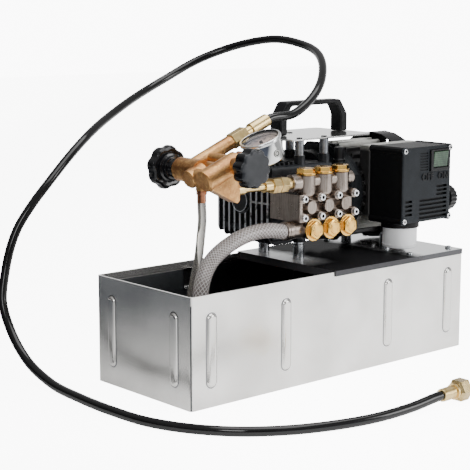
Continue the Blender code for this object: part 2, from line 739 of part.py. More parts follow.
def make_tank():
    half_length = TANK_LENGTH / 2
    half_width = TANK_WIDTH / 2
    outer = rounded(rectangle(-half_length, -half_width, half_length, half_width), TANK_CORNER_RADIUS)
    inner = rounded(
        rectangle(
            TANK_WALL - half_length, TANK_WALL - half_width, half_length - TANK_WALL, half_width - TANK_WALL
        ),
        TANK_CORNER_RADIUS - TANK_WALL,
    )
    hem = TANK_WALL + HEM_THICKNESS
    mouth = rounded(
        rectangle(hem - half_length, hem - half_width, half_length - hem, half_width - hem),
        TANK_CORNER_RADIUS - TANK_WALL,
    )
    tank = prism(outer, "Z", 0, TANK_HEIGHT)
    ribs = []
    recesses = []
    low = RIB_LOW + TANK_WALL
    high = RIB_HIGH - TANK_WALL
    half_rib = RIB_WIDTH / 2
    half_recess = half_rib - TANK_WALL
    for side in (-1, 1):
        for share in FRONT_RIB_SHARES:
            middle = TANK_LENGTH * share
            face = half_width * side
            outline = stadium(middle - half_rib, RIB_LOW, middle + half_rib, RIB_HIGH)
            ribs.append(prism(outline, "Y", face - TANK_WALL * side / 2, face + RIB_RISE * side))
            outline = stadium(middle - half_recess, low, middle + half_recess, high, 1)
            sunk = face - (TANK_WALL + CUT_OVERRUN) * side
            recesses.append(prism(outline, "Y", sunk, face + (RIB_RISE - TANK_WALL) * side))
        for share in SIDE_RIB_SHARES:
            middle = TANK_WIDTH * share
            face = half_length * side
            outline = stadium(middle - half_rib, RIB_LOW, middle + half_rib, RIB_HIGH)
            ribs.append(prism(outline, "X", face - TANK_WALL * side / 2, face + RIB_RISE * side))
            outline = stadium(middle - half_recess, low, middle + half_recess, high, 1)
            sunk = face - (TANK_WALL + CUT_OVERRUN) * side
            recesses.append(prism(outline, "X", sunk, face + (RIB_RISE - TANK_WALL) * side))
    join(tank, group(ribs))
    cut(tank, prism(inner, "Z", TANK_WALL, TANK_HEIGHT - HEM_HEIGHT))
    cut(tank, prism(mouth, "Z", TANK_HEIGHT - HEM_HEIGHT - CUT_OVERRUN, TANK_HEIGHT + CUT_OVERRUN))
    cut(tank, group(recesses))
    named(tank, "tank_shell", "stainless_sheet")


def deck_screw_places():
    right = DECK_RIGHT - DECK_SCREW_EDGE
    side = TANK_WIDTH / 2 - DECK_SCREW_SIDE
    return [(x, y) for y in (-side, side) for x in (right - DECK_SCREW_SPACING, right)]


def make_deck():
    outside = TANK_WIDTH / 2 + SEAT_GAP
    edge = outside + DECK_THICKNESS
    low = DECK_UNDERSIDE - DECK_LIP_HEIGHT
    channel = (
        (-edge, low),
        (-outside, low),
        (-outside, DECK_UNDERSIDE),
        (outside, DECK_UNDERSIDE),
        (outside, low),
        (edge, low),
        (edge, DECK_TOP),
        (-edge, DECK_TOP),
    )
    deck = prism(channel, "X", DECK_LEFT, DECK_RIGHT)
    inside = TANK_WIDTH / 2 - TANK_WALL - HEM_THICKNESS - RUNNING_GAP
    flange = box(
        (DECK_LEFT, -inside, DECK_UNDERSIDE - DECK_FLANGE_HEIGHT),
        (DECK_LEFT + DECK_THICKNESS, inside, DECK_UNDERSIDE + DECK_THICKNESS / 2),
    )
    join(deck, flange)
    holes = []
    for x, y in deck_screw_places():
        bore = SCREW_SHANK_RADIUS + SEAT_GAP
        holes.append(rod((x, y, DECK_UNDERSIDE - CUT_OVERRUN), (x, y, DECK_TOP + CUT_OVERRUN), bore, 12))
    cut(deck, group(holes))
    named(deck, "deck_plate", "polished_deck")
    for i, (x, y) in enumerate(deck_screw_places()):
        seat = DECK_TOP + SEAT_GAP
        profile = (
            (0, SCREW_SHANK_RADIUS),
            (SCREW_LENGTH, SCREW_SHANK_RADIUS),
            (SCREW_LENGTH, SCREW_HEAD_RADIUS),
            (SCREW_LENGTH + SCREW_HEAD_HEIGHT - EDGE_BREAK, SCREW_HEAD_RADIUS),
            (SCREW_LENGTH + SCREW_HEAD_HEIGHT, SCREW_HEAD_RADIUS - EDGE_BREAK),
        )
        screw = turned(profile, (x, y, seat - SCREW_LENGTH), (0, 0, 1), 12)
        named(screw, f"deck_screw_{i + 1}", "screw_steel")


def make_posts():
    low = DECK_TOP + SEAT_GAP
    pump_places = [(PUMP_POST_X, y) for y in PUMP_POST_YS]
    motor_places = [(MOTOR_POST_X, CRANK_Y + MOTOR_POST_SPREAD * side) for side in (-1, 1)]
    places = [(x, y, POST_HEIGHT) for x, y in pump_places]
    places += [(x, y, MOTOR_POST_HEIGHT) for x, y in motor_places]
    for i, (x, y, height) in enumerate(places):
        profile = (
            (0, POST_RADIUS),
            (height - POST_NECK_HEIGHT, POST_RADIUS),
            (height - POST_NECK_HEIGHT, POST_NECK_RADIUS),
            (height, POST_NECK_RADIUS),
        )
        named(turned(profile, (x, y, low), (0, 0, 1), 12), f"support_post_{i + 1}", "zinc_post")


def make_crankcase():
    core_left = CASE_LEFT
    core_low = CASE_BOTTOM + CASE_FIN_RISE
    core_top = CASE_TOP - CASE_FIN_RISE
    side_view = rounded(
        rectangle(core_left, core_low, CASE_RIGHT, core_top),
        [CASE_FIN_BEND - CASE_FIN_RISE, CASE_TOP_RADIUS, CASE_TOP_RADIUS, CASE_TOP_RADIUS],
    )
    end_view = rounded(
        rectangle(CASE_FRONT, core_low, CASE_BACK, core_top),
        [CASE_TOP_RADIUS, CASE_SUMP_RADIUS, CASE_TOP_RADIUS, CASE_TOP_RADIUS],
    )
    case = prism(side_view, "Y", CASE_FRONT, CASE_BACK)
    kept_common(case, prism(end_view, "X", core_left - CUT_OVERRUN, CASE_RIGHT + CUT_OVERRUN))

    left = CASE_LEFT - CASE_FIN_RISE
    fin_top = core_top - CASE_TOP_RADIUS / 2
    fin_outline = rounded(
        (
            (left, CASE_BOTTOM),
            (left + CASE_FIN_FOOT, CASE_BOTTOM),
            (left + CASE_FIN_FOOT, core_low + SINK * 2),
            (core_left + SINK * 2, core_low + SINK * 2),
            (core_left + SINK * 2, fin_top),
            (left, fin_top),
        ),
        [CASE_FIN_BEND, 0, 0, 0, 0, CASE_FIN_RISE / 2],
    )
    pitch = (CASE_DEPTH - CASE_FIN_THICKNESS - EDGE_BREAK * 6) / (CASE_FIN_COUNT - 1)
    fins = []
    for i in range(CASE_FIN_COUNT):
        y = CASE_FRONT + EDGE_BREAK * 3 + pitch * i
        fins.append(prism(fin_outline, "Y", y, y + CASE_FIN_THICKNESS))
    fins = group(fins)
    fin_view = rounded(
        rectangle(CASE_FRONT - CASE_FIN_RISE, CASE_BOTTOM, CASE_BACK + CASE_FIN_RISE, CASE_TOP),
        [CASE_TOP_RADIUS + CASE_FIN_RISE, CASE_SUMP_RADIUS + CASE_FIN_RISE, CASE_TOP_RADIUS, CASE_TOP_RADIUS],
    )
    kept_common(fins, prism(fin_view, "X", left - CUT_OVERRUN, CASE_RIGHT))
    join(case, fins)

    top_fins = []
    for i in range(TOP_FIN_COUNT):
        x = CASE_LEFT + EDGE_BREAK + TOP_FIN_PITCH * i
        top_fins.append(
            box(
                (x, CASE_FRONT + CASE_TOP_RADIUS, core_top - SINK),
                (x + CASE_FIN_THICKNESS, CASE_BACK - CASE_TOP_RADIUS, CASE_TOP),
            )
        )
    join(case, group(top_fins))

    bead_low = CASE_BOTTOM + CASE_BEAD_LOW
    bead = box(
        (CASE_LEFT - CASE_BEAD_RISE, CASE_FRONT + EDGE_BREAK * 2, bead_low),
        (CASE_LEFT + SINK, CASE_BACK - CASE_SUMP_RADIUS / 2, bead_low + CASE_BEAD_HEIGHT),
    )
    belt_low = CRANK_Z - CASE_BELT_THICKNESS / 2
    belt = box(
        (left + EDGE_BREAK / 2, CASE_FRONT + EDGE_BREAK * 2, belt_low),
        (CASE_LEFT + SINK, CRANK_Y, belt_low + CASE_BELT_THICKNESS),
    )
    join(case, bead, belt)

    boss_face = left + EDGE_BREAK
    boss = rod((CASE_LEFT + SINK, CRANK_Y, CRANK_Z), (boss_face, CRANK_Y, CRANK_Z), BEARING_BOSS_RADIUS, 16)
    face_cut = rod(
        (boss_face, CRANK_Y, CRANK_Z), (boss_face - CUT_OVERRUN, CRANK_Y, CRANK_Z), BEARING_BOSS_RADIUS, 16
    )
    join(case, boss)
    cut(case, face_cut)

    bell_profile = (
        (0, BELL_RADIUS),
        (SINK + BELL_LENGTH, BELL_RADIUS),
        (SINK + BELL_LENGTH, BELL_FLANGE_RADIUS),
        (SINK + BELL_LENGTH + BELL_FLANGE_THICKNESS, BELL_FLANGE_RADIUS),
    )
    bell = turned(bell_profile, (CASE_RIGHT - SINK, CRANK_Y, CRANK_Z), (1, 0, 0), 20)
    boss_top = FILLER_BOSS_TOP + CRANK_Z
    filler_boss = rod(
        (FILLER_X, FILLER_Y, CRANK_Z + FILLER_BOSS_TOP / 4),
        (FILLER_X, FILLER_Y, boss_top),
        FILLER_BOSS_RADIUS,
        12,
        math.radians(7),
    )
    join(case, bell, filler_boss)

    feet = []
    for y in PUMP_POST_YS:
        foot = (PUMP_POST_X, y, CASE_BOTTOM)
        feet.append(rod(foot, (PUMP_POST_X, y, CASE_BOTTOM + CASE_FOOT_HEIGHT), CASE_FOOT_RADIUS, 10))
    join(case, group(feet))
    bosses = []
    for x in PLATE_POST_XS:
        for y in PLATE_POST_YS:
            bosses.append(rod((x, y, core_top - SINK), (x, y, CASE_BOSS_TOP), CASE_BOSS_RADIUS, 10))
    join(case, group(bosses))

    drain_foot = CASE_BOTTOM + CASE_FIN_RISE
    drain_bore = rod(
        (DRAIN_X, DRAIN_Y, CASE_BOTTOM - CUT_OVERRUN),
        (DRAIN_X, DRAIN_Y, drain_foot + EDGE_BREAK),
        DRAIN_RADIUS + RUNNING_GAP,
        12,
    )
    cut(case, drain_bore)
    tab_low = PLATE_TOP - PLATE_TAB_DROP - RUNNING_GAP
    notch = box(
        (PLATE_LEFT - PLATE_TAB_NOTCH, CASE_FRONT + PLATE_TAB_NEAR + SINK, tab_low),
        (
            PLATE_LEFT + PLATE_THICKNESS + PLATE_TAB_NOTCH,
            CASE_FRONT + PLATE_TAB_NEAR + PLATE_TAB_WIDTH + SINK * 4,
            CASE_TOP + CUT_OVERRUN,
        ),
    )
    cut(case, notch)
    named(case, "crankcase", "dark_cast_aluminium")

    disc_start = boss_face - SEAT_GAP
    disc_profile = (
        (0, END_COVER_RADIUS),
        (END_COVER_THICKNESS, END_COVER_RADIUS),
        (END_COVER_THICKNESS, END_COVER_RADIUS - EDGE_BREAK * 2),
        (END_COVER_THICKNESS - EDGE_BREAK, END_COVER_RADIUS - EDGE_BREAK * 2),
    )
    disc = turned(disc_profile, (disc_start, CRANK_Y, CRANK_Z), (-1, 0, 0), 16)
    named(disc, "crankshaft_end_cover", "dark_cast_aluminium")

    cover_outline = rounded(
        rectangle(
            CASE_LEFT + REAR_COVER_MARGIN,
            core_low + REAR_COVER_MARGIN * 2,
            CASE_RIGHT - REAR_COVER_MARGIN,
            core_top - REAR_COVER_MARGIN,
        ),
        REAR_COVER_RADIUS,
    )
    cover_face = CASE_BACK + SEAT_GAP + REAR_COVER_THICKNESS
    cover = prism(cover_outline, "Y", CASE_BACK + SEAT_GAP, cover_face)
    glass_x = (CASE_LEFT + CASE_RIGHT) / 2
    glass_boss = turned(
        (
            (0, BEARING_BOSS_RADIUS),
            (REAR_COVER_THICKNESS, BEARING_BOSS_RADIUS),
            (REAR_COVER_THICKNESS, END_COVER_RADIUS),
            (REAR_COVER_THICKNESS / 2, END_COVER_RADIUS),
        ),
        (glass_x, CASE_BACK + SEAT_GAP + REAR_COVER_THICKNESS / 2, CRANK_Z),
        (0, 1, 0),
        16,
    )
    join(cover, glass_boss)
    named(cover, "crankcase_rear_cover", "dark_cast_aluminium")

    seat = boss_top + SEAT_GAP

    def ridges(angle):
        return 1 - 0.05 * (round(angle / math.tau * FILLER_RIDGES * 2) % 2)

    filler_profile = (
        (0, FILLER_CAP_FLANGE),
        (FILLER_CAP_HEIGHT * 0.15, FILLER_CAP_FLANGE),
        (FILLER_CAP_HEIGHT * 0.2, FILLER_CAP_RADIUS),
        (FILLER_CAP_HEIGHT - EDGE_BREAK, FILLER_CAP_RADIUS),
        (FILLER_CAP_HEIGHT, FILLER_CAP_RADIUS - EDGE_BREAK),
    )
    filler = turned(filler_profile, (FILLER_X, FILLER_Y, seat), (0, 0, 1), FILLER_RIDGES * 2, waves=ridges)
    named(filler, "oil_filler_cap", "black_plastic")

    plug_low = drain_foot - SEAT_GAP - DRAIN_HEIGHT
    plug = turned(
        (
            (0, DRAIN_RADIUS - EDGE_BREAK),
            (EDGE_BREAK, DRAIN_RADIUS),
            (DRAIN_HEIGHT, DRAIN_RADIUS),
        ),
        (DRAIN_X, DRAIN_Y, plug_low),
        (0, 0, 1),
        12,
    )
    named(plug, "oil_drain_plug", "amber_plug")


def hex_cap(seat, direction, flange_radius, hex_radius, button, name):
    """A valve cap: a round flange, a hexagon to turn it by, and a raised button in its middle."""
    seat = Vector(seat)
    direction = Vector(direction)
    flange = turned(((0, flange_radius), (CAP_FLANGE_THICKNESS, flange_radius)), seat, direction, 14)
    top = CAP_FLANGE_THICKNESS + CAP_HEX_HEIGHT
    grip = turned(
        (
            (CAP_FLANGE_THICKNESS / 2, hex_radius),
            (top - EDGE_BREAK, hex_radius),
            (top, hex_radius * math.cos(math.pi / 6) - EDGE_BREAK / 4),
        ),
        seat,
        direction,
        6,
        math.pi / 6,
    )
    join(flange, grip)
    if button:
        join(
            flange,
            turned(
                (
                    (top - EDGE_BREAK, CAP_BUTTON_RADIUS),
                    (top + CAP_BUTTON_HEIGHT, CAP_BUTTON_RADIUS - CAP_BUTTON_HEIGHT / 2),
                ),
                seat,
                direction,
                10,
            ),
        )
    named(flange, name, "cap_brass")


def make_pump_head():
    low = CRANK_Z - HEAD_HEIGHT / 2
    high = CRANK_Z + HEAD_HEIGHT / 2
    right = HEAD_LEFT + HEAD_LENGTH
    relief = HEAD_FACE + HEAD_RELIEF
    front_left = rounded(
        (
            (HEAD_LEFT, HEAD_FACE),
            (HEAD_LEFT + HEAD_SIDE_THICKNESS, HEAD_FACE),
            (HEAD_LEFT + HEAD_SIDE_THICKNESS + HEAD_RELIEF / 2, relief),
            (right, relief),
            (right, HEAD_BACK),
            (HEAD_LEFT, HEAD_BACK),
        ),
        [EDGE_BREAK * 2, EDGE_BREAK, EDGE_BREAK * 3, EDGE_BREAK * 3, 0, 0],
    )
    head = prism(front_left, "Z", low, high)

    towers = []
    for x in PLUNGER_XS:
        foot = high - TOWER_FOOT / 2
        top = CRANK_Z + TOWER_TOP
        profile = (
            (0, TOWER_RADIUS * 0.55),
            (TOWER_FOOT * 0.2, TOWER_RADIUS * 0.85),
            (TOWER_FOOT * 0.5, TOWER_RADIUS),
            (top - foot - EDGE_BREAK, TOWER_RADIUS),
            (top - foot, TOWER_RADIUS - EDGE_BREAK),
        )
        towers.append(turned(profile, (x, TOWER_Y, foot), (0, 0, 1), 14))
    tower_wall = box(
        (PLUNGER_XS[0], TOWER_Y, high - SINK),
        (PLUNGER_XS[-1], TOWER_Y + TOWER_RADIUS, DELIVERY_Z),
    )
    join(head, tower_wall)
    join(head, group(towers))
    gallery_start = (HEAD_LEFT + EDGE_BREAK, TOWER_Y + SINK, DELIVERY_Z)
    gallery_end = (right - EDGE_BREAK, TOWER_Y + SINK, DELIVERY_Z)
    join(head, rod(gallery_start, gallery_end, GALLERY_RADIUS, 12))
    port_end = (PORT_X, VALVE_END_Y, DELIVERY_Z)
    port_root = PLUNGER_XS[0] - TOP_CAP_FLANGE_RADIUS - RUNNING_GAP
    join(head, broken_rod((port_root, VALVE_END_Y, DELIVERY_Z), port_end, PORT_RADIUS, sides=14))

    suction_y = VALVE_END_Y + SEAT_GAP
    suction_start = (right - EDGE_BREAK * 2, suction_y, SUCTION_Z)
    join(head, broken_rod(suction_start, (PORT_X, suction_y, SUCTION_Z), SUCTION_GALLERY_RADIUS, sides=14))
    boss_end = HEAD_FACE - EDGE_BREAK
    suction_bosses = []
    for x in PLUNGER_XS:
        boss = rod((x, suction_y, SUCTION_Z), (x, boss_end, SUCTION_Z), SUCTION_BOSS_RADIUS, 14)
        suction_bosses.append(boss)
    join(head, group(suction_bosses))

    round_bosses = []
    for x in PLUNGER_XS:
        profile = (
            (0, PLUNGER_BOSS_RADIUS + EDGE_BREAK),
            (HEAD_RELIEF, PLUNGER_BOSS_RADIUS),
            (HEAD_RELIEF + SINK, PLUNGER_BOSS_RADIUS - EDGE_BREAK),
        )
        round_bosses.append(turned(profile, (x, relief + SINK, CRANK_Z), (0, -1, 0), 12))
    join(head, group(round_bosses))
    ears = []
    for x in SCREW_XS:
        for side in (-1, 1):
            z = CRANK_Z + SCREW_ROW_OFFSET * side
            ears.append(rod((x, relief + SINK, z), (x, HEAD_FACE, z), EAR_RADIUS, 8))
    join(head, group(ears))
    named(head, "pump_head", "nickel_brass")

    top_seat = CRANK_Z + TOWER_TOP + SEAT_GAP
    for i, x in enumerate(PLUNGER_XS):
        top_name = f"delivery_valve_cap_{i + 1}"
        front_name = f"suction_valve_cap_{i + 1}"
        front_seat = (x, boss_end - SEAT_GAP, SUCTION_Z)
        hex_cap((x, TOWER_Y, top_seat), (0, 0, 1), TOP_CAP_FLANGE_RADIUS, CAP_HEX_RADIUS, False, top_name)
        hex_cap(front_seat, (0, -1, 0), CAP_FLANGE_RADIUS, CAP_HEX_RADIUS, True, front_name)


def make_motor():
    axis = Vector((0, CRANK_Y, CRANK_Z))

    def at(x):
        return axis + Vector((x, 0, 0))

    octagon = turned(
        ((0, SHIELD_RADIUS + SHIELD_STEP), (SHIELD_LENGTH * 0.4, SHIELD_RADIUS + SHIELD_STEP)),
        at(SHIELD_START),
        (1, 0, 0),
        8,
        math.pi / 8,
    )
    profile = (
        (SHIELD_LENGTH * 0.2, SHIELD_RADIUS - EDGE_BREAK),
        (SHIELD_LENGTH * 0.7, SHIELD_RADIUS - EDGE_BREAK),
        (SHIELD_LENGTH * 0.7, SHIELD_RADIUS - SHIELD_STEP),
        (SHIELD_LENGTH, SHIELD_RADIUS - SHIELD_STEP),
    )
    join(octagon, turned(profile, at(SHIELD_START), (1, 0, 0), 20))
    named(octagon, "motor_end_shield", "dark_cast_aluminium")

    outline = []
    for i in range(FIN_COUNT):
        for share in (-0.26, -0.14, 0.14, 0.26):
            radius = FIN_TIP_RADIUS if abs(share) < 0.2 else HOUSING_ROOT_RADIUS
            angle = math.tau * (i + share) / FIN_COUNT
            outline.append((CRANK_Y + radius * math.cos(angle), CRANK_Z + radius * math.sin(angle)))
    housing = prism(outline, "X", HOUSING_START, HOUSING_END)
    bell_end = HOUSING_END + END_BELL_LENGTH
    bell = turned(
        (
            (0, END_BELL_RADIUS),
            (END_BELL_LENGTH, END_BELL_RADIUS),
            (SINK + END_BELL_LENGTH, END_BELL_RADIUS - SINK),
        ),
        at(HOUSING_END - SINK),
        (1, 0, 0),
        20,
    )
    join(housing, bell)
    lug_reach = FAN_COVER_RADIUS - FAN_COVER_WALL - EDGE_BREAK * 1.5
    lugs = []
    for i in range(4):
        lug = box(
            (HOUSING_END + SEAT_GAP * 2, -COVER_LUG_WIDTH / 2, END_BELL_RADIUS - SINK * 2),
            (bell_end - SINK, COVER_LUG_WIDTH / 2, lug_reach),
        )
        turn = Matrix.Rotation(math.radians(45 + 90 * i), 4, "X")
        lug.data.transform(Matrix.Translation(axis) @ turn)
        lugs.append(lug)
    join(housing, group(lugs))
    foot_low = DECK_TOP + SEAT_GAP + MOTOR_POST_HEIGHT + SEAT_GAP
    feet = []
    for side in (-1, 1):
        y = CRANK_Y + MOTOR_POST_SPREAD * side
        half = HOUSING_FOOT_WIDTH / 2
        feet.append(
            box(
                (MOTOR_POST_X - half, y - half, foot_low),
                (MOTOR_POST_X + half, y + half, foot_low + HOUSING_FOOT_RISE),
            )
        )
    join(housing, group(feet))
    bore = SHAFT_RADIUS + SEAT_GAP
    cut(housing, rod(at(bell_end - SHAFT_SINK - SEAT_GAP), at(bell_end + CUT_OVERRUN), bore, 12))
    named(housing, "motor_housing", "light_aluminium")

    inner = FAN_COVER_RADIUS - FAN_COVER_WALL
    profile = (
        (0, inner),
        (0, FAN_COVER_RADIUS),
        (FAN_COVER_LENGTH - FAN_COVER_ROUND, FAN_COVER_RADIUS),
        (FAN_COVER_LENGTH, FAN_COVER_RADIUS - FAN_COVER_ROUND),
        (FAN_COVER_LENGTH, 0),
        (FAN_COVER_LENGTH - FAN_COVER_WALL, 0),
        (FAN_COVER_LENGTH - FAN_COVER_WALL, inner - FAN_COVER_ROUND),
        (FAN_COVER_LENGTH - FAN_COVER_ROUND, inner),
    )
    cover = turned(profile, at(FAN_COVER_START), (1, 0, 0), 24, hollow=True)
    slots = []
    for i in range(GRILLE_SLOTS):
        slot = box(
            (FAN_COVER_END - FAN_COVER_WALL - CUT_OVERRUN, -GRILLE_SLOT_WIDTH / 2, GRILLE_INNER_RADIUS),
            (FAN_COVER_END + CUT_OVERRUN, GRILLE_SLOT_WIDTH / 2, GRILLE_OUTER_RADIUS),
        )
        turn = Matrix.Rotation(math.tau * i / GRILLE_SLOTS, 4, "X")
        slot.data.transform(Matrix.Translation(axis) @ turn)
        slots.append(slot)
    cut(cover, group(slots))
    named(cover, "fan_cover", "black_plastic")

    fan_start = bell_end + RUNNING_GAP * 2
    hub = rod(at(fan_start), at(fan_start + FAN_WIDTH), FAN_HUB_RADIUS, 16)
    blades = []
    for i in range(FAN_BLADES):
        blade = box(
            (fan_start + EDGE_BREAK, -FAN_BLADE_THICKNESS / 2, FAN_HUB_RADIUS - SINK),
            (fan_start + FAN_WIDTH - EDGE_BREAK, FAN_BLADE_THICKNESS / 2, FAN_RADIUS),
        )
        turn = Matrix.Rotation(math.tau * (i + 0.5) / FAN_BLADES, 4, "X")
        blade.data.transform(Matrix.Translation(axis) @ turn)
        blades.append(blade)
    join(hub, group(blades))
    cut(hub, rod(at(fan_start - CUT_OVERRUN), at(fan_start + FAN_WIDTH + CUT_OVERRUN), bore, 12))
    named(hub, "cooling_fan", "black_plastic", at(fan_start))

    shaft_end = at(fan_start + FAN_WIDTH + SINK / 2)
    shaft = broken_rod(at(bell_end - SHAFT_SINK), shaft_end, SHAFT_RADIUS, sides=12)
    named(shaft, "motor_shaft", "steel_shaft", at(fan_start))


def vents(shares, count, height, depth):
    """Blind slots in the control box's front face, one above another, placed by shares of that face."""
    left, right, first, pitch = shares
    slots = []
    for i in range(count):
        low = BOX_BOTTOM + BOX_HEIGHT * (first + pitch * i)
        slots.append(
            box(
                (BOX_LEFT + BOX_LENGTH * left, BOX_FRONT - CUT_OVERRUN, low),
                (BOX_LEFT + BOX_LENGTH * right, BOX_FRONT + depth, low + height),
            )
        )
    return slots


def motor_relief():
    """The space that the motor's body and its wider fan cover take up behind the control box."""
    step = FAN_COVER_START - EDGE_BREAK
    body = rod(
        (BOX_LEFT - CUT_OVERRUN, CRANK_Y, CRANK_Z), (step, CRANK_Y, CRANK_Z), FIN_TIP_RADIUS + SEAT_GAP, 48
    )
    fan_end = rod(
        (step - EDGE_BREAK / 2, CRANK_Y, CRANK_Z),
        (BOX_RIGHT + CUT_OVERRUN, CRANK_Y, CRANK_Z),
        FAN_COVER_RADIUS + EDGE_BREAK,
        48,
    )
    return body, fan_end


def make_control_box():
    base = box((BOX_LEFT, BOX_BACK + SEAT_GAP, BOX_BOTTOM), (BOX_RIGHT, BOX_BACK + BOX_BASE_DEPTH, BOX_TOP))
    softened(base, BOX_EDGE_RADIUS / 2, 1)
    cut(base, *motor_relief())
    named(base, "terminal_box_base", "light_aluminium")

    cover = box((BOX_LEFT, BOX_FRONT, BOX_BOTTOM), (BOX_RIGHT, BOX_BACK, BOX_TOP))
    softened(cover, BOX_EDGE_RADIUS, 2)
    ears = []
    recesses = []
    for side_x in (BOX_LEFT + BOX_SCREW_INSET, BOX_RIGHT - BOX_SCREW_INSET):
        for side_z in (BOX_BOTTOM + BOX_SCREW_INSET, BOX_TOP - BOX_SCREW_INSET):
            ear_face = BOX_FRONT - EDGE_BREAK / 2
            ears.append(rod((side_x, BOX_BACK, side_z), (side_x, ear_face, side_z), BOX_EAR_RADIUS, 10))
            recesses.append(
                rod(
                    (side_x, ear_face + BOX_EAR_RECESS, side_z),
                    (side_x, ear_face - CUT_OVERRUN, side_z),
                    BOX_EAR_BORE,
                    8,
                )
            )
    join(cover, group(ears))
    cup = rod(
        (CAPACITOR_X, CAPACITOR_Y, BOX_BOTTOM + BOX_EDGE_RADIUS * 2),
        (CAPACITOR_X, CAPACITOR_Y, BOX_BOTTOM - CAPACITOR_CUP_DROP),
        CAPACITOR_RADIUS + SEAT_GAP + CAPACITOR_CUP_WALL,
        20,
    )
    join(cover, cup)
    pocket_top = DECK_TOP + CAPACITOR_CLEARANCE + CAPACITOR_LENGTH + SEAT_GAP
    pocket = rod(
        (CAPACITOR_X, CAPACITOR_Y, pocket_top),
        (CAPACITOR_X, CAPACITOR_Y, BOX_BOTTOM - CAPACITOR_CUP_DROP - CUT_OVERRUN),
        CAPACITOR_RADIUS + SEAT_GAP,
        20,
    )
    cut(cover, pocket)
    cut(cover, *motor_relief())
    slots = vents(LONG_VENT_SHARES, LONG_VENT_COUNT, VENT_HEIGHT, VENT_DEPTH)
    slots += vents(SHORT_VENT_SHARES, SHORT_VENT_COUNT, VENT_HEIGHT, VENT_DEPTH)
    slots += vents(LEFT_VENT_SHARES, LEFT_VENT_COUNT, VENT_HEIGHT, VENT_DEPTH)
    slots += vents(GRIP_STRIP_SHARES, GRIP_STRIP_COUNT, GRIP_STRIP_HEIGHT, GRIP_STRIP_DEPTH)
    slots += recesses
    cut(cover, group(slots))

    frame_left = BOX_LEFT + SWITCH_LEFT
    frame_low = BOX_BOTTOM + SWITCH_BOTTOM
    frame_right = frame_left + SWITCH_LENGTH
    frame_high = frame_low + SWITCH_HEIGHT
    well_floor = BOX_FRONT + ROCKER_DEPTH + SINK
    cut(
        cover,
        box(
            (frame_left - SEAT_GAP, BOX_FRONT - CUT_OVERRUN, frame_low - SEAT_GAP),
            (frame_right + SEAT_GAP, well_floor + SEAT_GAP, frame_high + SEAT_GAP),
        ),
    )
    named(cover, "terminal_box_cover", "charcoal_plastic")

    frame = box(
        (frame_left, BOX_FRONT - SWITCH_FRAME_RISE, frame_low), (frame_right, well_floor, frame_high)
    )
    softened(frame, EDGE_BREAK / 2, 1)
    hole_left = frame_left + SWITCH_FRAME_SIDE
    hole_right = frame_right - SWITCH_FRAME_EDGE
    hole_low = frame_low + SWITCH_FRAME_SIDE * 0.8
    hole_high = frame_high - SWITCH_FRAME_EDGE
    cut(
        frame,
        box(
            (hole_left, BOX_FRONT - SWITCH_FRAME_RISE - CUT_OVERRUN, hole_low),
            (hole_right, well_floor - EDGE_BREAK, hole_high),
        ),
    )
    named(frame, "switch_frame", "charcoal_plastic")

    middle_z = (hole_low + hole_high) / 2
    half = (hole_high - hole_low) / 2 - EDGE_BREAK
    front = BOX_FRONT - SWITCH_FRAME_RISE + EDGE_BREAK
    back = front + ROCKER_DEPTH
    slope = half * math.tan(ROCKER_ANGLE)
    outline = (
        (back - SINK, middle_z - half),
        (back, middle_z - half * 0.4),
        (back, middle_z + half * 0.4),
        (back - SINK, middle_z + half),
        (front - ROCKER_RISE, middle_z + half),
        (front - ROCKER_RISE + slope, middle_z),
        (front, middle_z - half),
    )
    rocker = prism(outline, "X", hole_left + RUNNING_GAP, hole_right - RUNNING_GAP)
    pivot = ((hole_left + hole_right) / 2, (front + back) / 2, middle_z)
    named(rocker, "rocker_switch", "switch_green", pivot)

    capacitor_low = DECK_TOP + CAPACITOR_CLEARANCE
    profile = (
        (0, CAPACITOR_RADIUS - EDGE_BREAK),
        (EDGE_BREAK, CAPACITOR_RADIUS),
        (CAPACITOR_LENGTH, CAPACITOR_RADIUS),
    )
    capacitor = turned(profile, (CAPACITOR_X, CAPACITOR_Y, capacitor_low), (0, 0, 1), 20)
    named(capacitor, "run_capacitor", "white_plastic")

    gland_z = BOX_BOTTOM + GLAND_RISE
    profile = (
        (0, GLAND_BORE_RADIUS),
        (0, GLAND_RADIUS),
        (GLAND_LENGTH * 0.35, GLAND_RADIUS),
        (GLAND_LENGTH * 0.35, GLAND_NECK_RADIUS),
        (GLAND_LENGTH * 0.5, GLAND_NECK_RADIUS),
        (GLAND_LENGTH * 0.5, GLAND_RADIUS),
        (GLAND_LENGTH * 0.85, GLAND_RADIUS - EDGE_BREAK),
        (GLAND_LENGTH, GLAND_NECK_RADIUS * 0.8),
        (GLAND_LENGTH, GLAND_BORE_RADIUS),
    )
    gland = turned(profile, (BOX_RIGHT + SEAT_GAP, GLAND_Y, gland_z), (1, 0, 0), 12, hollow=True)
    named(gland, "cable_gland", "black_plastic")


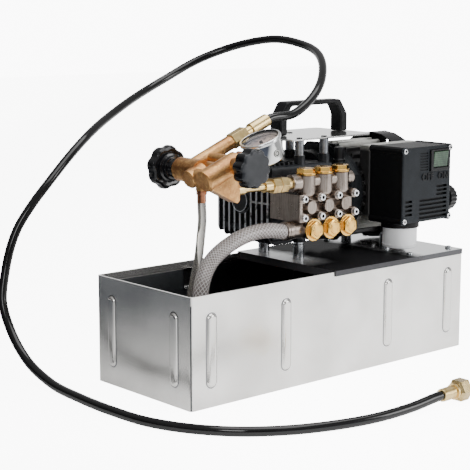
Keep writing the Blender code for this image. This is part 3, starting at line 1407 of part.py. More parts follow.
def make_top_plate():
    right = PLATE_LEFT + PLATE_LENGTH
    back = PLATE_FRONT + PLATE_DEPTH
    outline = rounded(
        (
            (PLATE_LEFT, PLATE_FRONT),
            (right - PLATE_CORNER_RADIUS * 1.5, PLATE_FRONT),
            (right, PLATE_FRONT + PLATE_CORNER_RADIUS * 1.5),
            (right, back),
            (PLATE_LEFT, back),
        ),
        [EDGE_BREAK * 2] + [PLATE_CORNER_RADIUS / 4] * 2 + [PLATE_CORNER_RADIUS] * 2,
    )
    plate = prism(outline, "Z", PLATE_BOTTOM, PLATE_TOP)
    near = PLATE_FRONT + PLATE_TAB_NEAR + SINK * 2
    tab_outline = rounded(
        rectangle(near, PLATE_TOP - PLATE_TAB_DROP, near + PLATE_TAB_WIDTH, PLATE_TOP - PLATE_THICKNESS / 2),
        [PLATE_TAB_WIDTH * 0.4, PLATE_TAB_WIDTH * 0.4, 0, 0],
    )
    tab = prism(tab_outline, "X", PLATE_LEFT, PLATE_LEFT + PLATE_THICKNESS)
    join(plate, tab)
    named(plate, "top_plate", "pale_steel")

    for i, x in enumerate(PLATE_POST_XS):
        for j, y in enumerate(PLATE_POST_YS):
            low = CASE_BOSS_TOP + SEAT_GAP
            post = rod((x, y, low), (x, y, PLATE_BOTTOM - SEAT_GAP), PLATE_POST_RADIUS, 12)
            named(post, f"plate_post_{i * 2 + j + 1}", "zinc_post")


def make_handle():
    low = PLATE_TOP + SEAT_GAP
    top = low + HANDLE_HEIGHT
    left = HANDLE_LEFT
    right = HANDLE_LEFT + HANDLE_LENGTH
    bar = top - HANDLE_BAR
    knee = top - HANDLE_CHAMFER_DROP
    outline = rounded(
        (
            (left, low),
            (left + HANDLE_LEG, low),
            (left + HANDLE_LEG, knee),
            (left + HANDLE_LEG + HANDLE_CHAMFER_RUN * 0.6, bar),
            (right - HANDLE_LEG - HANDLE_CHAMFER_RUN * 0.6, bar),
            (right - HANDLE_LEG, knee),
            (right - HANDLE_LEG, low),
            (right, low),
            (right, knee),
            (right - HANDLE_CHAMFER_RUN, top),
            (left + HANDLE_CHAMFER_RUN, top),
            (left, knee),
        ),
        ([0] * 2 + [HANDLE_BAR] * 4) * 2,
        2,
    )
    handle = prism(outline, "Y", HANDLE_FRONT, HANDLE_FRONT + HANDLE_DEPTH)
    softened(handle, HANDLE_EDGE_RADIUS, 1, math.radians(60))
    named(handle, "carry_handle", "black_plastic")


def make_valve_body():
    front_start = on_valve(0, VALVE_END_Y)
    front_end = on_valve(FRONT_TUBE_LENGTH, VALVE_END_Y)
    body = turned(
        (
            (0, FRONT_TUBE_RADIUS - EDGE_BREAK * 2),
            (EDGE_BREAK * 2, FRONT_TUBE_RADIUS),
            (FRONT_TUBE_LENGTH - EDGE_BREAK * 2, FRONT_TUBE_RADIUS),
            (FRONT_TUBE_LENGTH, FRONT_TUBE_RADIUS - EDGE_BREAK * 2),
        ),
        front_start,
        front_end - front_start,
        16,
    )
    web_bottom = DELIVERY_Z - WEB_DROP
    web_outline = rounded(
        (
            (VALVE_END_X + WEB_CORNER, VALVE_END_Z),
            (VALVE_END_X + WEB_LEFT_INSET, DELIVERY_Z + WEB_LEFT_RISE),
            (WEB_RIGHT_X - WEB_CORNER, web_bottom),
            (WEB_RIGHT_X, web_bottom + WEB_CORNER),
            (WEB_RIGHT_X, on_valve(FRONT_TUBE_LENGTH * 0.9, 0).z),
        ),
        [0, EDGE_BREAK, EDGE_BREAK * 2, EDGE_BREAK * 2, 0],
        2,
    )
    half_web = WEB_THICKNESS / 2
    web = prism(web_outline, "Y", VALVE_END_Y - half_web, VALVE_END_Y + half_web)
    join(body, web)
    back_end = on_valve(NECK_ALONG + EDGE_BREAK * 2, BACK_TUBE_Y)
    back_start = on_valve(0, BACK_TUBE_Y)
    join(body, broken_rod(back_end, back_start, BACK_TUBE_RADIUS, EDGE_BREAK * 2, 16))
    foot = VALVE_FOOT_ALONG
    join(body, rod(on_valve(foot, VALVE_END_Y), on_valve(foot, BACK_TUBE_Y), VALVE_FOOT_RADIUS, 12))
    neck = turned(
        (
            (0, NECK_RADIUS),
            (NECK_END_Y - BACK_TUBE_Y - SINK * 2, NECK_RADIUS),
            (NECK_END_Y - BACK_TUBE_Y - SINK * 2, NECK_RADIUS - SINK),
            (NECK_END_Y - BACK_TUBE_Y, NECK_RADIUS - SINK - EDGE_BREAK),
        ),
        on_valve(NECK_ALONG, BACK_TUBE_Y),
        (0, 1, 0),
        16,
    )
    join(body, neck)
    near_start = on_valve(NEAR_LINK_ALONG, VALVE_END_Y)
    join(body, rod(near_start, on_valve(NEAR_LINK_ALONG, OUTLET_TUBE_Y), LINK_RADIUS, 12))
    far_start = on_valve(FAR_LINK_ALONG, VALVE_END_Y, FAR_LINK_LIFT)
    join(body, rod(far_start, on_valve(FAR_LINK_ALONG, OUTLET_TUBE_Y, FAR_LINK_LIFT), LINK_RADIUS, 12))
    outlet_end = on_valve(OUTLET_TUBE_END, OUTLET_TUBE_Y)
    join(body, broken_rod(on_valve(NECK_ALONG, OUTLET_TUBE_Y), outlet_end, OUTLET_TUBE_RADIUS, sides=16))
    boss_end = on_valve(GAUGE_NUT_NEAR - SEAT_GAP, GAUGE_Y, GAUGE_STEM_LIFT)
    boss_start = on_valve(FAR_LINK_ALONG - EDGE_BREAK, GAUGE_Y, GAUGE_STEM_LIFT)
    join(body, broken_rod(boss_start, boss_end, GAUGE_BOSS_RADIUS, sides=12))
    bonnet_start = on_valve(SHUTOFF_ALONG, VALVE_END_Y)
    bonnet = turned(
        (
            (0, BONNET_RADIUS),
            (VALVE_END_Y - BONNET_END_Y - SINK * 2, BONNET_RADIUS),
            (VALVE_END_Y - BONNET_END_Y - SINK, BONNET_RADIUS - EDGE_BREAK * 2),
            (VALVE_END_Y - BONNET_END_Y, BONNET_RADIUS - EDGE_BREAK * 2),
        ),
        bonnet_start,
        (0, -1, 0),
        16,
    )
    join(body, bonnet)
    barb_z = CRANK_Z + BARB_BOSS_BOTTOM
    barb_root = (BARB_X, BARB_Y, VALVE_END_Z + WEB_LEFT_RISE)
    join(body, rod(barb_root, (BARB_X, BARB_Y, barb_z), BARB_BOSS_RADIUS, 12))
    bore = REGULATOR_SPINDLE_RADIUS + SEAT_GAP
    neck_end = on_valve(NECK_ALONG, NECK_END_Y)
    inward = Vector((0, -1, 0))
    cut(body, rod(neck_end + inward * REGULATOR_BORE_DEPTH, neck_end - inward * CUT_OVERRUN, bore, 12))
    bonnet_end = on_valve(SHUTOFF_ALONG, BONNET_END_Y)
    bore = SHUTOFF_SPINDLE_RADIUS + SEAT_GAP
    cut(body, rod(bonnet_end - inward * SHUTOFF_BORE_DEPTH, bonnet_end + inward * CUT_OVERRUN, bore, 12))
    named(body, "valve_body", "valve_brass")


def lobed_knob(seat, direction, radius, thickness, lobes, share, bore_radius, bore_depth, name):
    """A hand knob with rounded lobes, a dished outer face and a blind bore for its spindle."""
    seat = Vector(seat)
    direction = Vector(direction)

    def waves(angle):
        return 1 - share + share * math.cos(angle * lobes)

    profile = (
        (0, radius - KNOB_EDGE),
        (KNOB_EDGE, radius),
        (thickness - KNOB_EDGE, radius),
        (thickness, radius - KNOB_EDGE),
        (thickness, radius * KNOB_DISH_SHARE),
        (thickness - KNOB_DISH_DEPTH, radius * KNOB_DISH_SHARE * 0.8),
    )
    knob = turned(profile, seat, direction, lobes * 3, waves=waves)
    cut(knob, rod(seat - direction * CUT_OVERRUN, seat + direction * bore_depth, bore_radius, 12))
    return named(knob, name, "black_plastic", seat)


def make_spindles_and_knobs():
    neck_end = on_valve(NECK_ALONG, NECK_END_Y)
    outward = Vector((0, 1, 0))
    knob_seat = neck_end + outward * REGULATOR_KNOB_GAP
    bore_depth = REGULATOR_KNOB_THICKNESS * 0.6
    start = neck_end - outward * REGULATOR_SPINDLE_SINK
    end = knob_seat + outward * (bore_depth - SEAT_GAP)
    spindle = broken_rod(start, end, REGULATOR_SPINDLE_RADIUS, EDGE_BREAK / 2, 12)
    named(spindle, "regulator_spindle", "screw_steel", knob_seat)
    lobed_knob(
        knob_seat,
        outward,
        REGULATOR_KNOB_RADIUS,
        REGULATOR_KNOB_THICKNESS,
        REGULATOR_LOBES,
        REGULATOR_LOBE_SHARE,
        REGULATOR_SPINDLE_RADIUS + SEAT_GAP,
        bore_depth,
        "regulator_knob",
    )
    bonnet_end = on_valve(SHUTOFF_ALONG, BONNET_END_Y)
    outward = Vector((0, -1, 0))
    knob_seat = bonnet_end + outward * SHUTOFF_KNOB_GAP
    bore_depth = SHUTOFF_KNOB_THICKNESS * 0.6
    start = bonnet_end - outward * SHUTOFF_SPINDLE_SINK
    end = knob_seat + outward * (bore_depth - SEAT_GAP)
    spindle = broken_rod(start, end, SHUTOFF_SPINDLE_RADIUS, EDGE_BREAK / 2, 12)
    named(spindle, "shutoff_spindle", "screw_steel", knob_seat)
    lobed_knob(
        knob_seat,
        outward,
        SHUTOFF_KNOB_RADIUS,
        SHUTOFF_KNOB_THICKNESS,
        SHUTOFF_LOBES,
        SHUTOFF_LOBE_SHARE,
        SHUTOFF_SPINDLE_RADIUS + SEAT_GAP,
        bore_depth,
        "shutoff_knob",
    )


def make_gauge():
    base = on_valve(GAUGE_ALONG, GAUGE_Y, GAUGE_CASE_LIFT - GAUGE_CASE_DEPTH)
    depth = GAUGE_CASE_DEPTH
    floor = depth - GAUGE_WELL_DEPTH
    case = turned(
        (
            (0, GAUGE_CASE_RADIUS - EDGE_BREAK * 2),
            (EDGE_BREAK * 2, GAUGE_CASE_RADIUS),
            (depth, GAUGE_CASE_RADIUS),
            (depth, GAUGE_WELL_RADIUS),
            (floor, GAUGE_WELL_RADIUS),
        ),
        base,
        VALVE_LIFT,
        22,
    )
    nut_start = GAUGE_NUT_NEAR
    nut_end = GAUGE_NUT_NEAR + GAUGE_NUT_LENGTH
    stem_start = on_valve(nut_end + SEAT_GAP, GAUGE_Y, GAUGE_STEM_LIFT)
    rim = GAUGE_ALONG - (GAUGE_CASE_RADIUS + GAUGE_WELL_RADIUS) / 2
    stem_end = on_valve(rim, GAUGE_Y, GAUGE_STEM_LIFT)
    join(case, rod(stem_start, stem_end, GAUGE_STEM_RADIUS, 12))
    named(case, "gauge_case", "pale_steel")

    nut = rod(
        on_valve(nut_start, GAUGE_Y, GAUGE_STEM_LIFT),
        on_valve(nut_end, GAUGE_Y, GAUGE_STEM_LIFT),
        GAUGE_NUT_RADIUS,
        6,
    )
    named(nut, "gauge_nut", "copper_brass")

    dial_low = GAUGE_CASE_LIFT - GAUGE_WELL_DEPTH + SEAT_GAP
    dial_low_point = on_valve(GAUGE_ALONG, GAUGE_Y, dial_low)
    dial_radius = GAUGE_WELL_RADIUS - SEAT_GAP
    dial = turned(((0, dial_radius), (GAUGE_DIAL_THICKNESS, dial_radius)), dial_low_point, VALVE_LIFT, 22)
    named(dial, "gauge_dial", "dial_enamel")

    hub_low = dial_low + GAUGE_DIAL_THICKNESS + SEAT_GAP
    hub_point = on_valve(GAUGE_ALONG, GAUGE_Y, hub_low)
    hub_height = POINTER_THICKNESS * 3
    pointer = turned(((0, POINTER_HUB_RADIUS), (hub_height, POINTER_HUB_RADIUS)), hub_point, VALVE_LIFT, 12)
    outline = (
        (-POINTER_TAIL, -POINTER_WIDTH / 2),
        (0, -POINTER_WIDTH / 2),
        (POINTER_LENGTH, -POINTER_WIDTH / 8),
        (POINTER_LENGTH, POINTER_WIDTH / 8),
        (0, POINTER_WIDTH / 2),
        (-POINTER_TAIL, POINTER_WIDTH / 2),
    )
    needle = prism(outline, "Z", POINTER_THICKNESS, POINTER_THICKNESS * 2)
    lean = Matrix((VALVE_ALONG, Vector((0, 1, 0)), VALVE_LIFT)).transposed().to_4x4()
    turn = Matrix.Rotation(POINTER_TURN, 4, "Z")
    needle.data.transform(Matrix.Translation(hub_point) @ lean @ turn)
    join(pointer, needle)
    named(pointer, "gauge_pointer", "black_plastic", hub_point)

    lens_low = GAUGE_CASE_LIFT + SEAT_GAP
    lens_radius = GAUGE_CASE_RADIUS - SEAT_GAP
    lens_point = on_valve(GAUGE_ALONG, GAUGE_Y, lens_low)
    lens = turned(((0, lens_radius), (GAUGE_LENS_THICKNESS, lens_radius)), lens_point, VALVE_LIFT, 22)
    named(lens, "gauge_lens", "clear_lens")

    bezel_point = on_valve(GAUGE_ALONG, GAUGE_Y, -GAUGE_BEZEL_DEPTH)
    bore = GAUGE_CASE_RADIUS + SEAT_GAP
    lip = GAUGE_BEZEL_DEPTH + lens_low + GAUGE_LENS_THICKNESS + SEAT_GAP
    top = GAUGE_BEZEL_DEPTH + GAUGE_BEZEL_RISE
    bezel = turned(
        (
            (0, bore),
            (0, GAUGE_BEZEL_RADIUS),
            (top - EDGE_BREAK, GAUGE_BEZEL_RADIUS),
            (top, GAUGE_BEZEL_RADIUS - EDGE_BREAK),
            (top, GAUGE_BEZEL_LIP),
            (lip, GAUGE_BEZEL_LIP),
            (lip, bore),
        ),
        bezel_point,
        VALVE_LIFT,
        22,
        hollow=True,
    )
    named(bezel, "gauge_bezel", "pale_steel")


def ferrule_profile(length, radius):
    """A crimped sleeve over a hose's end."""
    edge = EDGE_BREAK / 2
    return [(0, radius - edge), (edge, radius), (length - edge, radius), (length, radius - edge)]


def make_fittings():
    start = Vector((PORT_X - SEAT_GAP, VALVE_END_Y, DELIVERY_Z))
    end = Vector((WEB_RIGHT_X + SEAT_GAP, VALVE_END_Y, DELIVERY_Z))
    span = (end - start).length
    first, second, third, last = (span * share for share in DELIVERY_STATION_SHARES)
    delivery = turned(
        (
            (0, DELIVERY_COLLAR_RADIUS),
            (third, DELIVERY_COLLAR_RADIUS),
            (third, DELIVERY_PIPE_RADIUS),
            (last, DELIVERY_PIPE_RADIUS),
            (last, DELIVERY_COLLAR_RADIUS),
            (span, DELIVERY_COLLAR_RADIUS),
        ),
        start,
        (-1, 0, 0),
        12,
    )
    middle = (first + second) / 2
    hexes = []
    for near, far in ((first, middle - EDGE_BREAK), (middle, second)):
        grip = ((near, DELIVERY_HEX_RADIUS), (far, DELIVERY_HEX_RADIUS))
        hexes.append(turned(grip, start, (-1, 0, 0), 6))
    join(delivery, group(hexes))
    named(delivery, "delivery_fitting", "cap_brass")

    begin = OUTLET_TUBE_END + SEAT_GAP
    seat = on_valve(begin, OUTLET_TUBE_Y)
    sleeve_start = OUTLET_HEX_LENGTH
    ferrule_start = sleeve_start + OUTLET_SLEEVE_LENGTH
    profile = [(0, OUTLET_SLEEVE_RADIUS), (ferrule_start, OUTLET_SLEEVE_RADIUS)]
    for along, radius in ferrule_profile(FERRULE_LENGTH, FERRULE_RADIUS):
        profile.append((ferrule_start + along, radius))
    outlet = turned(profile, seat, VALVE_ALONG, 12)
    grip = turned(
        (
            (0, OUTLET_HEX_RADIUS - EDGE_BREAK),
            (EDGE_BREAK, OUTLET_HEX_RADIUS),
            (OUTLET_HEX_LENGTH - EDGE_BREAK, OUTLET_HEX_RADIUS),
            (OUTLET_HEX_LENGTH, OUTLET_HEX_RADIUS - EDGE_BREAK),
        ),
        seat,
        VALVE_ALONG,
        6,
    )
    join(outlet, grip)
    named(outlet, "outlet_fitting", "cap_brass")

    barb_top = CRANK_Z + BARB_BOSS_BOTTOM - SEAT_GAP
    barb = turned(
        (
            (0, BARB_RADIUS + EDGE_BREAK),
            (BARB_LENGTH * 0.3, BARB_RADIUS + EDGE_BREAK),
            (BARB_LENGTH * 0.3, BARB_RADIUS),
            (BARB_LENGTH, BARB_RADIUS),
        ),
        (BARB_X, BARB_Y, barb_top),
        (0, 0, -1),
        12,
    )
    named(barb, "return_barb", "white_plastic")

    tail_y = VALVE_END_Y + SEAT_GAP
    tail = turned(
        (
            (0, SUCTION_TAIL_RADIUS),
            (SUCTION_TAIL_LENGTH, SUCTION_TAIL_RADIUS),
            (SUCTION_TAIL_LENGTH, SUCTION_CLAMP_RADIUS),
            (SUCTION_TAIL_LENGTH + SUCTION_CLAMP_LENGTH, SUCTION_CLAMP_RADIUS),
        ),
        (PORT_X - SEAT_GAP, tail_y, SUCTION_Z),
        (-1, 0, 0),
        16,
    )
    named(tail, "suction_tail", "zinc_post")

    end = Vector(SUCTION_HOSE_END)
    down = Vector((0, 0, -1))
    strainer = turned(
        (
            (0, STRAINER_SOCKET_RADIUS),
            (STRAINER_LENGTH * 0.2, STRAINER_SOCKET_RADIUS),
            (STRAINER_LENGTH * 0.25, STRAINER_RADIUS),
            (STRAINER_LENGTH - EDGE_BREAK, STRAINER_RADIUS),
            (STRAINER_LENGTH, STRAINER_RADIUS - EDGE_BREAK),
        ),
        end + down * SEAT_GAP,
        down,
        12,
    )
    slots = []
    for i in range(STRAINER_SLOTS):
        slot = box(
            (STRAINER_RADIUS - SINK, -STRAINER_SLOT_WIDTH / 2, -STRAINER_LENGTH * 0.92),
            (STRAINER_RADIUS + CUT_OVERRUN, STRAINER_SLOT_WIDTH / 2, -STRAINER_LENGTH * 0.32),
        )
        slot.data.transform(Matrix.Translation(end) @ Matrix.Rotation(math.tau * i / STRAINER_SLOTS, 4, "Z"))
        slots.append(slot)
    cut(strainer, group(slots))
    named(strainer, "suction_strainer", "black_plastic")


def smooth_route(points, start_heading, end_heading):
    """Finely spaced points on the smooth curve through the given ones, with its heading set at both ends."""
    points = [Vector(point) for point in points]
    spans = [(two - one).length for one, two in zip(points, points[1:])]
    slopes = [Vector(start_heading).normalized()]
    for i in range(1, len(points) - 1):
        before = (points[i] - points[i - 1]) / spans[i - 1]
        after = (points[i + 1] - points[i]) / spans[i]
        slopes.append((before * spans[i] + after * spans[i - 1]) / (spans[i - 1] + spans[i]))
    slopes.append(Vector(end_heading).normalized())
    fine = []
    for i, span in enumerate(spans):
        for step in range(16):
            s = step / 16
            rise = s * s * (3 - 2 * s)
            start_pull = span * s * (1 - s) ** 2
            end_pull = span * s * s * (s - 1)
            pull = slopes[i] * start_pull + slopes[i + 1] * end_pull
            fine.append(points[i].lerp(points[i + 1], rise) + pull)
    fine.append(points[-1])
    return fine


def hose(points, start_heading, end_heading, radius, step, name, material):
    """A tube along the smooth curve, with evenly spaced points and square ends."""
    fine = smooth_route(points, start_heading, end_heading)
    reached = [0.0]
    for one, two in zip(fine, fine[1:]):
        reached.append(reached[-1] + (two - one).length)
    count = max(2, round(reached[-1] / step))
    line = []
    at = 0
    for i in range(count + 1):
        wanted = reached[-1] * i / count
        while at < len(fine) - 2 and reached[at + 1] < wanted:
            at += 1
        share = (wanted - reached[at]) / (reached[at + 1] - reached[at])
        line.append(fine[at].lerp(fine[at + 1], min(1, share)))
    line.insert(1, line[0] + Vector(start_heading).normalized() * radius)
    line.insert(-1, line[-1] - Vector(end_heading).normalized() * radius)
    curve = bpy.data.curves.new(name, "CURVE")
    curve.dimensions = "3D"
    curve.bevel_depth = radius
    curve.bevel_resolution = 2
    curve.use_fill_caps = True
    spline = curve.splines.new("POLY")
    spline.points.add(len(line) - 1)
    for place, point in zip(spline.points, line):
        place.co = (*point, 1)
    tube = bpy.data.objects.new(name, curve)
    bpy.context.collection.objects.link(tube)
    curve.materials.append(coloured(material))


def make_hoses():
    tail_end = PORT_X - SEAT_GAP * 2 - SUCTION_TAIL_LENGTH - SUCTION_CLAMP_LENGTH
    start = (tail_end, VALVE_END_Y + SEAT_GAP, SUCTION_Z)
    hose(
        (start, *SUCTION_HOSE_POINTS, SUCTION_HOSE_END),
        (-1, 0, 0),
        (0, 0, -1),
        SUCTION_HOSE_RADIUS,
        SUCTION_HOSE_RADIUS * 2 * 1.4,
        "suction_hose",
        "braided_hose",
    )
    start = (BARB_X, BARB_Y, CRANK_Z + BARB_BOSS_BOTTOM - SEAT_GAP * 2 - BARB_LENGTH)
    hose(
        (start, *RETURN_HOSE_POINTS, RETURN_HOSE_END),
        (0, 0, -1),
        (0, 0, -1),
        RETURN_HOSE_RADIUS,
        RETURN_HOSE_RADIUS * 2 * 2,
        "return_hose",
        "clear_hose",
    )
    fitting_end = OUTLET_TUBE_END + OUTLET_HEX_LENGTH + OUTLET_SLEEVE_LENGTH + FERRULE_LENGTH + SEAT_GAP * 2
    start = tuple(on_valve(fitting_end, OUTLET_TUBE_Y))
    hose(
        (start, *TEST_HOSE_POINTS, TEST_HOSE_END),
        VALVE_ALONG,
        TEST_HOSE_END_HEADING,
        TEST_HOSE_RADIUS,
        TEST_HOSE_RADIUS * 2 * HOSE_POINT_DIAMETERS,
        "test_hose",
        "black_rubber",
    )

    end = Vector(TEST_HOSE_END)
    heading = Vector(TEST_HOSE_END_HEADING).normalized()
    begin = end + heading * SEAT_GAP
    profile = ferrule_profile(FAR_FERRULE_LENGTH, FAR_FERRULE_RADIUS)
    far = FAR_FERRULE_LENGTH
    profile += [
        (far, FAR_COLLAR_RADIUS),
        (far + FAR_COLLAR_LENGTH, FAR_COLLAR_RADIUS),
        (far + FAR_COLLAR_LENGTH, SPIGOT_RADIUS),
        (far + FAR_COLLAR_LENGTH + SPIGOT_LENGTH, SPIGOT_RADIUS),
    ]
    ferrule = turned(profile, begin, heading, 12)
    named(ferrule, "test_hose_ferrule", "cap_brass")

    nut_start = begin + heading * (far + FAR_COLLAR_LENGTH + SEAT_GAP)
    nut = turned(
        (
            (0, SWIVEL_NUT_RADIUS * 0.8),
            (SWIVEL_NUT_SKIRT / 2, SWIVEL_NUT_RADIUS),
            (SWIVEL_NUT_LENGTH - EDGE_BREAK, SWIVEL_NUT_RADIUS),
            (SWIVEL_NUT_LENGTH, SWIVEL_NUT_RADIUS - EDGE_BREAK),
        ),
        nut_start,
        heading,
        6,
    )
    neck_end = nut_start + heading * SPIGOT_LENGTH
    nut_end = nut_start + heading * (SWIVEL_NUT_LENGTH + CUT_OVERRUN)
    cut(nut, rod(nut_start - heading * CUT_OVERRUN, neck_end, SPIGOT_RADIUS + SEAT_GAP, 16))
    cut(nut, rod(neck_end - heading * SWIVEL_NUT_SKIRT / 2, nut_end, SWIVEL_NUT_BORE, 16))
    named(nut, "test_hose_nut", "cap_brass", nut_start)


make_tank()
make_deck()
make_posts()
make_crankcase()
make_pump_head()
make_motor()
make_control_box()
make_top_plate()
make_handle()
make_valve_body()
make_spindles_and_knobs()
make_gauge()
make_fittings()
make_hoses()
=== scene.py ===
"""Looks of the electric pressure pump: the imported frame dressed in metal, plastic, rubber and glass.

Everything is in metres, in the frame's own axes: X along the tank, Y away from the pump head, Z up.
"""

import json
import math

import bmesh
import bpy
from mathutils import Matrix, Vector


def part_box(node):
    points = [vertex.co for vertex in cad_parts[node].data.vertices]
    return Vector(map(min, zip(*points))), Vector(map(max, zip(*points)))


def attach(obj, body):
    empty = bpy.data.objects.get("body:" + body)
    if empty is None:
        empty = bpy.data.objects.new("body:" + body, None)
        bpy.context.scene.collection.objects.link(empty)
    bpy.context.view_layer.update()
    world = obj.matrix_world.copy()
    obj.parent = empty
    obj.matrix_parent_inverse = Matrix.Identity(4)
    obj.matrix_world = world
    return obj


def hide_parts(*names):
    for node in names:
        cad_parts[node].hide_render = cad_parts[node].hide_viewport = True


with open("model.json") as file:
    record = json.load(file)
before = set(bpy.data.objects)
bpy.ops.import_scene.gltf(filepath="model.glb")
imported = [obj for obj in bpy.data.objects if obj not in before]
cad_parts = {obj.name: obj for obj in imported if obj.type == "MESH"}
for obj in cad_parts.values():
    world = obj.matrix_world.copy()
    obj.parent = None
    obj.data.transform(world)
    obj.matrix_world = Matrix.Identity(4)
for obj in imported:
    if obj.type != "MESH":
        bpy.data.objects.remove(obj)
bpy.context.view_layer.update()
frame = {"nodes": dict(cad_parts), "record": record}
nodes = frame["nodes"]
bodies = frame["record"]["behaviour"]["bodies"]
body_of = {node: body for body, members in bodies.items() for node in members}

# Camera: a long lens in front of the tank's left corner, a little above the tank's rim, with the pump
# in the middle of a square picture.
VIEW_AZIMUTH = math.radians(-41.152)
VIEW_ELEVATION = math.radians(9.538)
VIEW_DISTANCE = 1.8394
VIEW_RIGHT = -0.0732
VIEW_UP = 0.1736
VIEW_LENS = 102.75

back = Vector(
    (
        math.sin(VIEW_AZIMUTH) * math.cos(VIEW_ELEVATION),
        -math.cos(VIEW_AZIMUTH) * math.cos(VIEW_ELEVATION),
        math.sin(VIEW_ELEVATION),
    )
)
right = Vector((math.cos(VIEW_AZIMUTH), math.sin(VIEW_AZIMUTH), 0))
up = back.cross(right)
bpy.ops.object.camera_add(location=back * VIEW_DISTANCE + right * VIEW_RIGHT + up * VIEW_UP)
camera = bpy.context.object
camera.rotation_euler = Matrix((right, up, back)).transposed().to_euler()
camera.data.lens = VIEW_LENS
camera.data.clip_start = 0.05
camera.data.clip_end = 60
bpy.context.scene.camera = camera


class Wire:
    """One socket of a finish's nodes. Sums, differences and products of wires add Math nodes."""

    def __init__(self, tree, socket=None):
        self.tree = tree
        self.socket = socket

    def node(self, kind, settings, sockets, out=0):
        """Any other node: its settings are set first, then the values or wires of its sockets."""
        made = self.tree.nodes.new("ShaderNode" + kind)
        for name, value in settings.items():
            setattr(made, name, value)
        for name, value in sockets.items():
            if isinstance(value, Wire):
                self.tree.links.new(value.socket, made.inputs[name])
            elif isinstance(value, tuple) and len(value) == 3 and made.inputs[name].type == "RGBA":
                made.inputs[name].default_value = (*value, 1)
            else:
                made.inputs[name].default_value = value
        return Wire(self.tree, made.outputs[out])

    def maths(self, operation, one, two=0.0):
        return self.node("Math", {"operation": operation}, {0: one, 1: two})

    def __add__(self, other):
        return self.maths("ADD", self, other)

    def __sub__(self, other):
        return self.maths("SUBTRACT", self, other)

    def __rsub__(self, other):
        return self.maths("SUBTRACT", other, self)

    def __mul__(self, other):
        return self.maths("MULTIPLY", self, other)

    def __abs__(self):
        return self.maths("ABSOLUTE", self)

    def sine(self):
        return self.maths("SINE", self)

    def larger(self, other):
        return self.maths("MAXIMUM", self, other)

    def between(self, low, high):
        """Zero at low and before it, one at high and after it, and a straight rise between."""
        return self.node("MapRange", {}, {"Value": self, "From Min": low, "From Max": high})

    def mix(self, one, two):
        """The first colour where this mask is zero and the second where it is one."""
        return self.node("Mix", {"data_type": "RGBA"}, {0: self, 6: one, 7: two}, 2)

    def place(self, axis, source="Object"):
        """One coordinate of the point, in metres along the object's own axis, or of its texture map."""
        where = self.node("TexCoord", {}, {}, source)
        return self.node("SeparateXYZ", {}, {"Vector": where}, axis)

    def noise(self, scale, detail=3.0, roughness=0.5, stretch=(1, 1, 1)):
        """Grain of so many spots a metre, drawn out along an axis where stretch is below one."""
        where = self.node("TexCoord", {}, {}, "Object")
        where = self.node("Mapping", {}, {"Vector": where, "Scale": stretch})
        sockets = {"Vector": where, "Scale": scale, "Detail": detail, "Roughness": roughness}
        return self.node("TexNoise", {}, sockets)


# Studio: soft boxes above, in front and at the left, in a grey room with a low window behind the right
# end. The room is dark behind the camera and behind the left end, so that bare metal has something to
# mirror.
OVERHEAD_POWER = 48
FRONT_POWER = 24
LEFT_POWER = 15
ROOM_OVERHEAD = 0.45
ROOM_FRONT = 0.6
ROOM_BACK = 0.035
WINDOW_LIGHT = 1.1
PAPER_WHITE = 10.0


def soft_box(name, place, aim, width, height, power):
    """A rectangular light of the studio, turned towards a point of the object."""
    place = Vector(place)
    bpy.ops.object.light_add(type="AREA", location=place)
    light = bpy.context.object
    light.name = name
    light.rotation_euler = (place - Vector(aim)).to_track_quat("Z", "Y").to_euler()
    light.data.shape = "RECTANGLE"
    light.data.size = width
    light.data.size_y = height
    light.data.energy = power


soft_box("overhead_box", (0.2, -0.3, 2.3), (0, 0, 0.1), 2.2, 1.8, OVERHEAD_POWER)
soft_box("front_box", (1.5, -2.2, 0.9), (0.05, 0, 0.2), 0.8, 1.3, FRONT_POWER)
soft_box("left_box", (-1.9, -1.5, 1.4), (-0.1, 0, 0.2), 0.7, 0.9, LEFT_POWER)

room = bpy.data.worlds.new("studio_room")
bpy.context.scene.world = room
room.use_nodes = True
room_wire = Wire(room.node_tree)
lit = room.node_tree.nodes["Background"]
lit.inputs["Color"].default_value = (1, 1, 1, 1)
shoulder = room_wire.place("Y", "Generated") * 0.75 - room_wire.place("X", "Generated") * 0.66
lens_side = room_wire.place("Y", "Generated") * -0.66 - room_wire.place("X", "Generated") * 0.75
bright_wall = shoulder.between(0.85, 0.20) * lens_side.between(0.95, 0.45)
horizon = bright_wall * (ROOM_FRONT - ROOM_BACK) + ROOM_BACK
overhead = room_wire.place("Z", "Generated").between(0.12, 0.85)
far_right = room_wire.place("X", "Generated") * 0.65 + room_wire.place("Y", "Generated") * 0.75
window = far_right.between(0.60, 0.90) * room_wire.place("Z", "Generated").between(0.42, 0.20)
room_light = horizon + overhead * (ROOM_OVERHEAD - horizon) + window * WINDOW_LIGHT
room_wire.tree.links.new(room_light.socket, lit.inputs["Strength"])
white_wall = room_wire.node("Background", {}, {"Color": (1, 1, 1), "Strength": PAPER_WHITE})
seen = room_wire.node("LightPath", {}, {}, "Is Camera Ray")
shown = room_wire.node("MixShader", {}, {0: seen, 1: Wire(room.node_tree, lit.outputs[0]), 2: white_wall})
room.node_tree.links.new(shown.socket, room.node_tree.nodes["World Output"].inputs["Surface"])


# Floor: a sheet of white paper, which shows white to the lens and takes only a faint shadow. What the
# metal mirrors of it is painted dark in a band behind the left end and near the camera, and glows at the
# front right as painted light.
FLOOR_SIZE = 14.0
FLOOR_DROP = 0.0002
FLOOR_LIGHT = 1.1
NEAR_FLOOR_LIGHT = 3.4
PAPER_SHARE = 0.88


